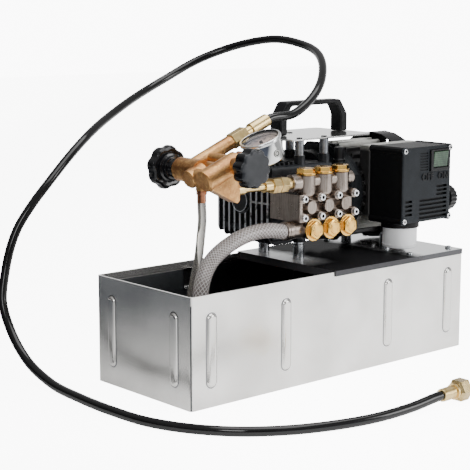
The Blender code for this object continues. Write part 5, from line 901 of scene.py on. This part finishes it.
for words, x in (("OFF", OFF_X), ("ON", ON_X)):
    place = (x, ear_face, LETTER_Z)
    raised = lettering(f"switch_word_{words}", words, LETTER_SIZE, LETTER_RISE, place, (1, 0, 0), (0, 0, 1))
    fitted(raised, black, 0)


# Cable gland: a big ribbed black gland nut where the mains lead would enter the cover, with its round
# opening on the outer end.
GLAND_RADIUS = 0.0188
GLAND_RIBS = 18

low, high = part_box("cable_gland")
gland_middle = (low[0], *middle_of(low, high)[1:])
gland_length = high[0] - low[0]
gland_stations = in_radii(
    GLAND_RADIUS,
    (0.0004, 0.80),
    (0.0030, 0.80),
    (0.0032, 0.98),
    (gland_length * 0.72, 1),
    (gland_length * 0.94, 0.90),
    (gland_length, 0.78),
    (gland_length, 0.42),
    (gland_length * 0.55, 0.36),
)
gland = turned("cable_gland_nut", gland_stations, GLAND_RIBS * 6, GLAND_RIBS, 0.06)
laid(gland, gland_middle, (1, 0, 0))
fitted(gland, black, 0.0004, 2, 28.0)
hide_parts("cable_gland")


# Running capacitor: a white moulded can that hangs from the control box, with a rolled seam ring near its
# foot.
CAN_RADIUS = 0.024
CAN_SEAM_HEIGHT = 0.0040
CAN_SEAM_WIDTH = 0.0012
CAN_SEAM_RISE = 0.0004

white = moulded("white_moulding", (0.90, 0.91, 0.92), (0.86, 0.87, 0.88), 0.30, grain=500.0, bump=0.00003)
dressed("run_capacitor", white, 0.0012, 3)
low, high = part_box("run_capacitor")
can_x, can_y = middle_of(low, high)[:2]
seam_stations = (
    (0, CAN_RADIUS - 0.0006),
    (0, CAN_RADIUS + CAN_SEAM_RISE),
    (CAN_SEAM_WIDTH, CAN_RADIUS + CAN_SEAM_RISE),
    (CAN_SEAM_WIDTH, CAN_RADIUS - 0.0006),
)
seam = laid(turned("capacitor_seam", seam_stations, 64), (can_x, can_y, low[2] + CAN_SEAM_HEIGHT), (0, 0, 1))
fitted(seam, white, 0.0002)


# Top plate: a laser-cut plate of pale bright steel with one end folded down, screwed on four posts over
# the crankcase. Socket screws hold it.
PLATE_SCREW_RADIUS = 0.0042
PLATE_SCREW_HEIGHT = 0.0010
PLATE_SCREW_SOCKET = 0.0022

pale_steel = metal("pale_steel", (0.70, 0.70, 0.69), (0.60, 0.60, 0.595), 0.20, 0.10, 45, 0.000006)
dressed("top_plate", pale_steel, 0.0005, 2)
plate_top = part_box("top_plate")[1][2]
black_oxide = metal("black_oxide", (0.030, 0.030, 0.032), (0.018, 0.018, 0.020), 0.38, 0.12, 300)
plate_screw = socket_screw("plate_screw", PLATE_SCREW_RADIUS, PLATE_SCREW_HEIGHT, PLATE_SCREW_SOCKET)
for i in range(4):
    low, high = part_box(f"plate_post_{i + 1}")
    place = (*middle_of(low, high)[:2], plate_top)
    screwed(plate_screw, f"plate_screw_{i + 1}", place, (0, 0, 1), i * 0.5, black_oxide, 0.00012)
bpy.data.objects.remove(plate_screw)


# Carry handle: a square black bow of moulded plastic, screwed on the top plate.
dressed("carry_handle", satin_black, 0.0014, 3)


# Valve body: one brass casting of crossing tubes with a flat web, orange-brown, with darker bloom in its
# hollows and paler rubbed crowns.
cast_brass, shader, wire = new_finish("cast_brass", Metallic=1.0)
bloom = wire.noise(48, 5.0, 0.66)
spots = wire.noise(260, 3.0, 0.6)
tone = bloom.between(0.38, 0.62).mix((0.42, 0.195, 0.075), (0.74, 0.425, 0.170))
painted(shader, spots.between(0.56, 0.72).mix(tone, (0.80, 0.52, 0.20)), bloom * 0.16 + spots * 0.08 + 0.32)
bumped(shader, wire.noise(800, 3.0, 0.65), 0.00016)
dressed("valve_body", cast_brass, 0.0009, 3)


# Pipe fittings: yellow brass hexagons, sleeves and crimped ferrules between the pump head, the valve body
# and the test hose.
fitting_brass, shader, wire = new_finish("fitting_brass", Metallic=1.0)
cloud = wire.noise(200, 4.0)
painted(shader, cloud.between(0.3, 0.7).mix((0.66, 0.47, 0.20), (0.84, 0.64, 0.31)), cloud * 0.12 + 0.24)
bumped(shader, wire.noise(1400, 2.0), 0.00001)
for node in ("delivery_fitting", "outlet_fitting", "test_hose_ferrule"):
    dressed(node, fitting_brass, 0.0004, 2)


# Regulator: a steel spindle in the valve body's neck, turned by a glossy black knob with eight round
# lobes. Its stepped hub reaches back to the neck.
REGULATOR_LOBES = 8
REGULATOR_DIP = 0.085
REGULATOR_HUB_GAP = 0.0010
NECK_Y = 0.028

gloss_black = moulded(
    "gloss_black_moulding", *BLACK_TONES, 0.14,
    spread=0.08, grain=500.0, bump=0.00002, Specular_IOR_Level=0.45,
)
dressed("regulator_spindle", zinc, 0.0002)


def joined(name, *pieces):
    """Several closed shapes of one moulding become one piece."""
    bpy.ops.object.select_all(action="DESELECT")
    for piece in pieces:
        piece.select_set(True)
    bpy.context.view_layer.objects.active = pieces[0]
    bpy.ops.object.join()
    pieces[0].name = name
    return pieces[0]


low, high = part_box("regulator_knob")
knob_radius = (high[0] - low[0]) / 2
knob_depth = high[1] - low[1]
knob_x, _, knob_z = middle_of(low, high)
wheel_stations = in_radii(
    knob_radius,
    (0.0, 0.62),
    (-0.0012, 0.70),
    (-0.0016, 0.86),
    (0.0004, 0.955),
    (knob_depth * 0.32, 1),
    (knob_depth * 0.72, 1),
    (knob_depth * 0.96, 0.94),
    (knob_depth, 0.84),
    (knob_depth, 0.60),
    (knob_depth - 0.0016, 0.54),
)
wheel = turned("regulator_wheel", wheel_stations, REGULATOR_LOBES * 10, REGULATOR_LOBES, REGULATOR_DIP)
hub_foot = NECK_Y + REGULATOR_HUB_GAP - low[1]
hub_stations = in_radii(
    knob_radius,
    (hub_foot, 0.30),
    (hub_foot, 0.40),
    (hub_foot * 0.62, 0.42),
    (hub_foot * 0.60, 0.52),
    (hub_foot * 0.26, 0.54),
    (hub_foot * 0.22, 0.64),
    (0.0010, 0.66),
    (0.0030, 0.50),
)
hub = turned("regulator_hub", hub_stations, 48)
regulator = joined("regulator_handwheel_grip", wheel, hub)
laid(regulator, (knob_x, low[1], knob_z), (0, 1, 0), math.radians(12))
fitted(regulator, gloss_black, 0.0006, 3, 28.0, "regulator_handwheel")
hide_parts("regulator_knob")


# Shut-off: a thinner spindle in the bonnet, under a charcoal knob with ten lobes and a flat face. Its
# sides are glossier and painted a darker black than the face, as shade.
SHUTOFF_LOBES = 10
SHUTOFF_DIP = 0.11

dressed("shutoff_spindle", zinc, 0.0002)
low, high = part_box("shutoff_knob")
knob_radius = (high[0] - low[0]) / 2
knob_depth = high[1] - low[1]
knob_x, _, knob_z = middle_of(low, high)
rim_stations = in_radii(
    knob_radius,
    (-0.0018, 0.70),
    (-0.0026, 0.90),
    (-0.0010, 0.98),
    (knob_depth * 0.25, 1),
    (knob_depth * 0.62, 0.985),
    (knob_depth * 0.84, 0.95),
    (knob_depth * 0.96, 0.88),
    (knob_depth, 0.78),
    (knob_depth * 0.99, 0.30),
)
grip = turned("shutoff_wheel", rim_stations, SHUTOFF_LOBES * 8, SHUTOFF_LOBES, SHUTOFF_DIP)
laid(grip, (knob_x, high[1], knob_z), (0, -1, 0), math.radians(10))
grip.name = "shutoff_handwheel_grip"
charcoal = moulded(
    "charcoal_grip", (0.018, 0.020, 0.024), (0.030, 0.032, 0.037), 0.34, spread=0.14, Specular_IOR_Level=0.35
)
fitted(grip, charcoal, 0.0006, 3, 28.0, "shutoff_handwheel")
# The knob's sides take the darker gloss black, painted as shade.
grip.data.materials.append(gloss_black)
for face in grip.data.polygons:
    if face.normal.y > -0.55:
        face.material_index = 1
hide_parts("shutoff_knob")


# Pressure gauge: a polished steel case, painted dark on the side by the shut-off as a reflection of the
# knob, with a rolled bezel and a clear lens over a pale dial, painted darker on its far side as a
# reflection in the lens, and printed with plain numbers. A rubber relief plug with a black rim sits in
# the case's wall, and a round stem joins the case to its nut on the valve body.
GAUGE_CENTRE = Vector((-0.079838, -0.029, 0.312753))
GAUGE_TILT = math.radians(22)
SCALE_RADIUS = 0.0190
SCALE_NUMBER_RADIUS = 0.0128
SCALE_SWEEP = 270
HEAVY_MARK = (0.0032, 0.00070)
LIGHT_MARK = (0.0018, 0.00035)
NUMBER_SIZE = 0.0056
NUMBER_RISE = 0.00005
SCALE_STEPS = 50
RELIEF_PLUG_RADIUS = 0.0050
RELIEF_PLUG_LIFT = -0.0180
RELIEF_PLUG_TURN = math.radians(-91)
CASE_RADIUS = 0.025
CASE_BACK = -0.0305
CASE_RIM = -0.0022
CASE_FLOOR = -0.0078
CASE_WALL = 0.0014
GAUGE_STEM_RADIUS = 0.0045
GAUGE_STEM_LIFT = -0.0078
GAUGE_STEM_START = -0.0357
GAUGE_STEM_END = -0.0240
DIAL_TOP = -0.0062
GASKET_REACH = 0.0242
GASKET_LIFT = -0.0022

along_stem = Vector((math.cos(GAUGE_TILT), 0, math.sin(GAUGE_TILT)))
off_dial = Vector((-math.sin(GAUGE_TILT), 0, math.cos(GAUGE_TILT)))
over_dial = Vector((0, 1, 0))
case_steel, shader, wire = new_finish("gauge_case_steel", Metallic=1.0)
cloud = wire.noise(60, 4.0, 0.55)
# The case's side by the shut-off is painted dark as a reflection of the knob.
knob_reflection_side = wire.place("X").between(-0.081, -0.087)
case_tone = cloud.between(0.3, 0.7).mix((0.70, 0.71, 0.71), (0.80, 0.80, 0.79))
painted(shader, knob_reflection_side.mix(case_tone, (0.055, 0.062, 0.080)), cloud * 0.06 + 0.10)
case_stations = (
    (CASE_BACK, CASE_RADIUS * 0.86),
    (CASE_BACK + 0.0010, CASE_RADIUS * 0.94),
    (CASE_BACK + 0.0032, CASE_RADIUS),
    (CASE_RIM, CASE_RADIUS),
    (CASE_RIM, CASE_RADIUS - CASE_WALL),
    (CASE_FLOOR, CASE_RADIUS - CASE_WALL),
)
case = laid(turned("gauge_case_cup", case_stations, 72), GAUGE_CENTRE, off_dial)
fitted(case, case_steel, 0.0005, 2)
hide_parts("gauge_case")
stem_length = GAUGE_STEM_END - GAUGE_STEM_START
stem_stations = (
    (0, GAUGE_STEM_RADIUS - 0.0004),
    (0.0004, GAUGE_STEM_RADIUS),
    (stem_length, GAUGE_STEM_RADIUS),
)
stem_foot = GAUGE_CENTRE + along_stem * GAUGE_STEM_START + off_dial * GAUGE_STEM_LIFT
gauge_stem = laid(turned("gauge_stem", stem_stations, 40), stem_foot, along_stem)
fitted(gauge_stem, case_steel, 0.0002)
copper_nut = metal("reddish_brass", (0.60, 0.27, 0.15), (0.34, 0.13, 0.07), 0.30, 0.14, 240)
dressed("gauge_nut", copper_nut, 0.0004)
enamel, shader, wire = new_finish("dial_paint")
cloud = wire.noise(90, 3.0)
dial_tone = cloud.between(0.35, 0.7).mix((0.84, 0.62, 0.55), (0.70, 0.55, 0.48))
# The dial's far side is painted darker as a reflection in the lens.
lens_reflection_side = wire.place("Y").between(-0.030, -0.008)
painted(shader, lens_reflection_side.mix(dial_tone, (0.27, 0.25, 0.28)), cloud * 0.12 + 0.39)
dressed("gauge_dial", enamel, 0.0001)
dressed("gauge_pointer", black, 0.0001)
rolled_stations = (
    (-0.0030, 0.0266),
    (-0.0024, 0.0274),
    (0.0002, 0.0275),
    (0.0016, 0.0270),
    (0.0022, 0.0258),
    (0.0020, 0.0246),
    (0.0010, 0.0238),
    (0.0004, 0.0232),
    (-0.0012, 0.0230),
    (-0.0028, 0.0250),
)
first_station = (rolled_stations[0][1], 0, rolled_stations[0][0])
bezel = fresh("gauge_bezel_ring", bpy.ops.mesh.primitive_plane_add, size=0.0001, location=first_station)
applied()
into("EDIT")
bpy.ops.mesh.select_mode(type="VERT")
bpy.ops.mesh.select_all(action="SELECT")
bpy.ops.mesh.merge(type="CENTER")
for (height, radius), (next_height, next_radius) in zip(rolled_stations, rolled_stations[1:]):
    step = (next_radius - radius, 0, next_height - height)
    bpy.ops.mesh.extrude_vertices_move(TRANSFORM_OT_translate={"value": step})
bpy.ops.mesh.select_all(action="SELECT")
bpy.ops.mesh.edge_face_add()
bpy.ops.mesh.delete(type="ONLY_FACE")
bpy.ops.mesh.select_all(action="SELECT")
bpy.ops.mesh.spin(steps=72, angle=math.tau, center=(0, 0, 0), axis=(0, 0, 1))
bpy.ops.mesh.select_all(action="SELECT")
bpy.ops.mesh.remove_doubles(threshold=0.00001)
bpy.ops.mesh.normals_make_consistent(inside=False)
into("OBJECT")
laid(bezel, GAUGE_CENTRE, off_dial)
bezel_steel = metal("bezel_steel", (0.95, 0.96, 0.97), (0.86, 0.87, 0.88), 0.24, 0.08, 60)
fitted(bezel, bezel_steel, 0, 1, 50.0)
gasket = moulded("gauge_gasket", *BLACK_TONES, 0.4, Specular_IOR_Level=0.3)
bezel.data.materials.append(gasket)
for face in bezel.data.polygons:
    reach = face.center - GAUGE_CENTRE
    lift = reach.dot(off_dial)
    if (reach - off_dial * lift).length < GASKET_REACH or lift < GASKET_LIFT:
        face.material_index = 1
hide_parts("gauge_bezel")

lens_glass, shader, wire = new_finish("gauge_glass", IOR=1.18, Transmission_Weight=1.0)
drive(shader, wire.noise(90, 3.0) * 0.03 + 0.01, "Roughness")
shader.inputs["Base Color"].default_value = (0.98, 0.99, 0.99, 1)
dressed("gauge_lens", lens_glass, 0.0002)

ink = moulded("scale_ink", (0.012, 0.012, 0.014), (0.020, 0.020, 0.022), 0.5, grain=1400.0, bump=0.00001)
marks = []
for step in range(SCALE_STEPS + 1):
    length, width = HEAVY_MARK if step % 5 == 0 else LIGHT_MARK
    mark_place = (0, SCALE_RADIUS - length / 2, 0)
    mark = fresh("scale_mark", bpy.ops.mesh.primitive_cube_add, size=1, location=mark_place)
    mark.scale = (width, length, 0.0001)
    applied()
    into("EDIT")
    pick(mark, lambda corner: corner.co.y > SCALE_RADIUS - length / 2)
    bpy.ops.transform.resize(value=(1.25, 1, 1), center_override=(0, SCALE_RADIUS, 0))
    into("OBJECT")
    mark.rotation_euler = (0, 0, math.radians(SCALE_SWEEP * (0.5 - step / SCALE_STEPS)))
    applied()
    marks.append(mark)
scale_marks = joined("gauge_scale_marks", *marks)
face_turn = Matrix((-over_dial, along_stem, off_dial)).transposed()
scale_marks.rotation_euler = face_turn.to_euler()
scale_marks.location = GAUGE_CENTRE + off_dial * (DIAL_TOP + 0.00006)
fitted(scale_marks, ink, 0)
for number in range(6):
    angle = math.radians(SCALE_SWEEP * (0.5 - number / 5))
    outward = along_stem * math.cos(angle) + over_dial * math.sin(angle)
    place = GAUGE_CENTRE + off_dial * (DIAL_TOP + 0.00004) + outward * SCALE_NUMBER_RADIUS
    name = f"gauge_number_{number * 20}"
    figure = lettering(name, str(number * 20), NUMBER_SIZE, NUMBER_RISE, place, -over_dial, along_stem)
    fitted(figure, ink, 0)

out_of_wall = along_stem * math.cos(RELIEF_PLUG_TURN) + over_dial * math.sin(RELIEF_PLUG_TURN)
plug_place = GAUGE_CENTRE + off_dial * RELIEF_PLUG_LIFT + out_of_wall * (CASE_RADIUS - 0.0006)
plug_stations = in_radii(
    RELIEF_PLUG_RADIUS,
    (0, 1),
    (0.0010, 1),
    (0.0013, 0.92),
    (0.0013, 0.62),
    (0.0006, 0.58),
    (0.0006, 0.44),
    (0.0012, 0.30),
)
relief_plug = laid(turned("gauge_relief_plug", plug_stations, 36), plug_place, out_of_wall)
grey_rubber = moulded("grey_rubber_plug", (0.46, 0.46, 0.43), (0.56, 0.56, 0.53), 0.45)
fitted(relief_plug, grey_rubber, 0.0001)
relief_plug.data.materials.append(gasket)
for face in relief_plug.data.polygons:
    reach = face.center - plug_place
    from_middle = (reach - out_of_wall * reach.dot(out_of_wall)).length / RELIEF_PLUG_RADIUS
    if from_middle > 0.93 or 0.42 < from_middle < 0.64:
        face.material_index = 1


# Return hose: a thin clear vinyl hose pushed over a reddish barb under the valve body, which lets the
# relieved water back into the tank. It is one hazy round bar, without a bore.
def smooth_route(points, start_heading, end_heading):
    """Finely spaced points on the smooth curve through the given ones, with its heading set at both ends."""
    points = [Vector(point) for point in points]
    spans = [(two - one).length for one, two in zip(points, points[1:])]
    slopes = [Vector(start_heading).normalized()]
    for i in range(1, len(points) - 1):
        before = (points[i] - points[i - 1]) / spans[i - 1]
        after = (points[i + 1] - points[i]) / spans[i]
        slopes.append((before * spans[i] + after * spans[i - 1]) / (spans[i - 1] + spans[i]))
    slopes.append(Vector(end_heading).normalized())
    fine = []
    for i, span in enumerate(spans):
        for step in range(6):
            s = step / 6
            rise = s * s * (3 - 2 * s)
            start_pull = span * s * (1 - s) ** 2
            end_pull = span * s * s * (s - 1)
            pull = slopes[i] * start_pull + slopes[i + 1] * end_pull
            fine.append(points[i].lerp(points[i + 1], rise) + pull)
    fine.append(points[-1])
    return fine


def hose(name, points, start_heading, end_heading, radius, finish, node, slot, **facts):
    """A round tube along its route, with a texture map that runs along it."""
    line = smooth_route(points, start_heading, end_heading)
    length = sum((two - one).length for one, two in zip(line, line[1:]))
    curve = bpy.data.curves.new(name, "CURVE")
    curve.dimensions = "3D"
    curve.bevel_depth = radius
    curve.bevel_resolution = 10
    curve.use_fill_caps = True
    spline = curve.splines.new("POLY")
    spline.points.add(len(line) - 1)
    for place, point in zip(spline.points, line):
        place.co = (*point, 1)
    spline.use_smooth = True
    tube = bpy.data.objects.new(name, curve)
    bpy.context.collection.objects.link(tube)
    only(tube)
    bpy.ops.object.convert(target="MESH")
    tube = bpy.context.object
    tube.data.materials.clear()
    tube.data.materials.append(finish)
    bpy.ops.object.shade_smooth_by_angle(angle=math.radians(50))
    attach(tube, "pump_unit")
    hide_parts(node)


RETURN_HOSE_RADIUS = 0.0055
RETURN_HOSE_START = (-0.1816, -0.0340, 0.2407)
RETURN_HOSE_POINTS = (
    (-0.1808, -0.0340, 0.2200), (-0.1820, -0.0320, 0.1945), (-0.1828, -0.0285, 0.1695),
    (-0.1853, -0.0240, 0.1450), (-0.1868, -0.0190, 0.1240), (-0.1875, -0.0140, 0.1000),
    (-0.1880, -0.0100, 0.0700), (-0.1880, -0.0080, 0.0350),
)
dressed("return_barb", copper_nut, 0.0005, 2)
vinyl, shader, wire = new_finish("clear_vinyl", Roughness=0.10, IOR=1.30, Transmission_Weight=0.85)
haze = wire.noise(60, 4.0)
drive(shader, haze.between(0.3, 0.7).mix((0.93, 0.90, 0.85), (0.84, 0.80, 0.73)), "Base Color")
bumped(shader, wire.noise(300, 2.0), 0.00005)
hose(
    "return_hose_tube", (RETURN_HOSE_START, *RETURN_HOSE_POINTS), (0, 0, -1), (0, 0, -1),
    RETURN_HOSE_RADIUS, vinyl, "return_hose", "clear_hose", far_end="bare", stiffness="medium",
    lay="hanging",
)


# Suction hose: thick clear vinyl with a net of white polyester yarn cast in its wall, from the gallery's
# tail down into the tank, where it ends in a slotted black strainer.
SUCTION_HOSE_RADIUS = 0.0100
SUCTION_HOSE_START = (-0.0562, -0.0477, 0.1930)
SUCTION_HOSE_POINTS = (
    (-0.0740, -0.0460, 0.1958), (-0.0960, -0.0460, 0.1970), (-0.1164, -0.0460, 0.1948),
    (-0.1357, -0.0460, 0.1899), (-0.1506, -0.0460, 0.1842), (-0.1648, -0.0460, 0.1768),
    (-0.1755, -0.0460, 0.1690), (-0.1838, -0.0460, 0.1590), (-0.1900, -0.0460, 0.1465),
    (-0.1945, -0.0460, 0.1255), (-0.1960, -0.0460, 0.1020), (-0.1962, -0.0460, 0.0800),
    (-0.1962, -0.0460, 0.0620),
)
YARNS_AROUND = 12
YARN_TURNS_ALONG = 46

braided, shader, wire = new_finish("braided_vinyl", Specular_IOR_Level=0.6)
down = wire.place("X", "UV") * (math.tau * YARN_TURNS_ALONG)
around = wire.place("Y", "UV") * (math.tau * YARNS_AROUND)
right_yarn = ((down + around) * 0.5).sine()
left_yarn = ((down - around) * 0.5).sine()
yarn = (1 - abs(right_yarn).between(0.10, 0.30)).larger(1 - abs(left_yarn).between(0.10, 0.30))
haze = wire.noise(45, 4.0)
wall = haze.between(0.3, 0.7).mix((0.20, 0.175, 0.165), (0.32, 0.285, 0.27))
painted(shader, yarn.mix(wall, (0.80, 0.76, 0.75)), haze * 0.1 + 0.16)
bumped(shader, yarn, 0.00025, 0.6)
dressed("suction_strainer", black, 0.0005)
hose(
    "suction_hose_tube", (SUCTION_HOSE_START, *SUCTION_HOSE_POINTS), (-1, 0, 0), (0, 0, -1),
    SUCTION_HOSE_RADIUS, braided, "suction_hose", "braided_hose", far_end="fitting",
    stiffness="medium", lay="hanging", with_pieces=["suction_strainer_finish"],
)


# Test hose: a stiff black rubber pressure hose, crimped in a ferrule on the valve body's outlet. Its far
# end has a crimped ferrule too, and a brass swivel nut that turns on it.
TEST_HOSE_RADIUS = 0.0060
TEST_HOSE_START = (-0.031046, 0.0115, 0.332453)
TEST_HOSE_POINTS = (
    (0.0150, 0.0113, 0.3372), (0.0515, 0.0195, 0.3508), (0.0874, 0.0345, 0.3702),
    (0.1225, 0.0625, 0.3925), (0.1554, 0.1050, 0.4122), (0.1801, 0.1657, 0.4250),
    (0.1836, 0.2351, 0.4312), (0.1599, 0.2933, 0.4202), (0.1177, 0.3288, 0.4001),
    (0.0569, 0.3408, 0.3707), (-0.0564, 0.3060, 0.3323), (-0.1845, 0.2404, 0.2821),
    (-0.2367, 0.2272, 0.2422), (-0.2591, 0.2269, 0.2197), (-0.2844, 0.2293, 0.1853),
    (-0.3066, 0.2269, 0.1261), (-0.3149, 0.2203, 0.0947), (-0.3170, 0.1977, 0.0573),
    (-0.3178, 0.1618, 0.0273), (-0.3215, 0.1033, 0.0096), (-0.3275, 0.0240, 0.0062),
    (-0.3290, -0.0490, 0.0062), (-0.3230, -0.1070, 0.0062), (-0.3010, -0.1600, 0.0062),
    (-0.2680, -0.2020, 0.0062), (-0.2240, -0.2340, 0.0062), (-0.1720, -0.2560, 0.0062),
    (-0.1130, -0.2690, 0.0064), (-0.0560, -0.2740, 0.0090), (-0.0060, -0.2755, 0.0138),
)
nut_brass = metal("nut_brass", (0.60, 0.46, 0.23), (0.44, 0.33, 0.15), 0.24, 0.12, 200, 0.00001)
dressed("test_hose_nut", nut_brass, 0.0005, 2)
cover_rubber, shader, wire = new_finish("black_rubber_cover", Specular_IOR_Level=0.40)
cloud = wire.noise(18, 4.0)
rubber_tone = cloud.between(0.35, 0.7).mix((0.0035, 0.0035, 0.004), (0.007, 0.007, 0.0075))
painted(shader, rubber_tone, cloud * 0.06 + 0.08)
bumped(shader, wire.noise(900, 2.0), 0.00002)
hose(
    "test_hose_tube", (TEST_HOSE_START, *TEST_HOSE_POINTS),
    (math.cos(GAUGE_TILT), 0, math.sin(GAUGE_TILT)), (1.0, -0.02, 0.03), TEST_HOSE_RADIUS,
    cover_rubber, "test_hose", "black_rubber", far_end="fitting", stiffness="stiff", lay="loose",
    with_pieces=["test_hose_ferrule_finish", "test_hose_nut_finish"],
)
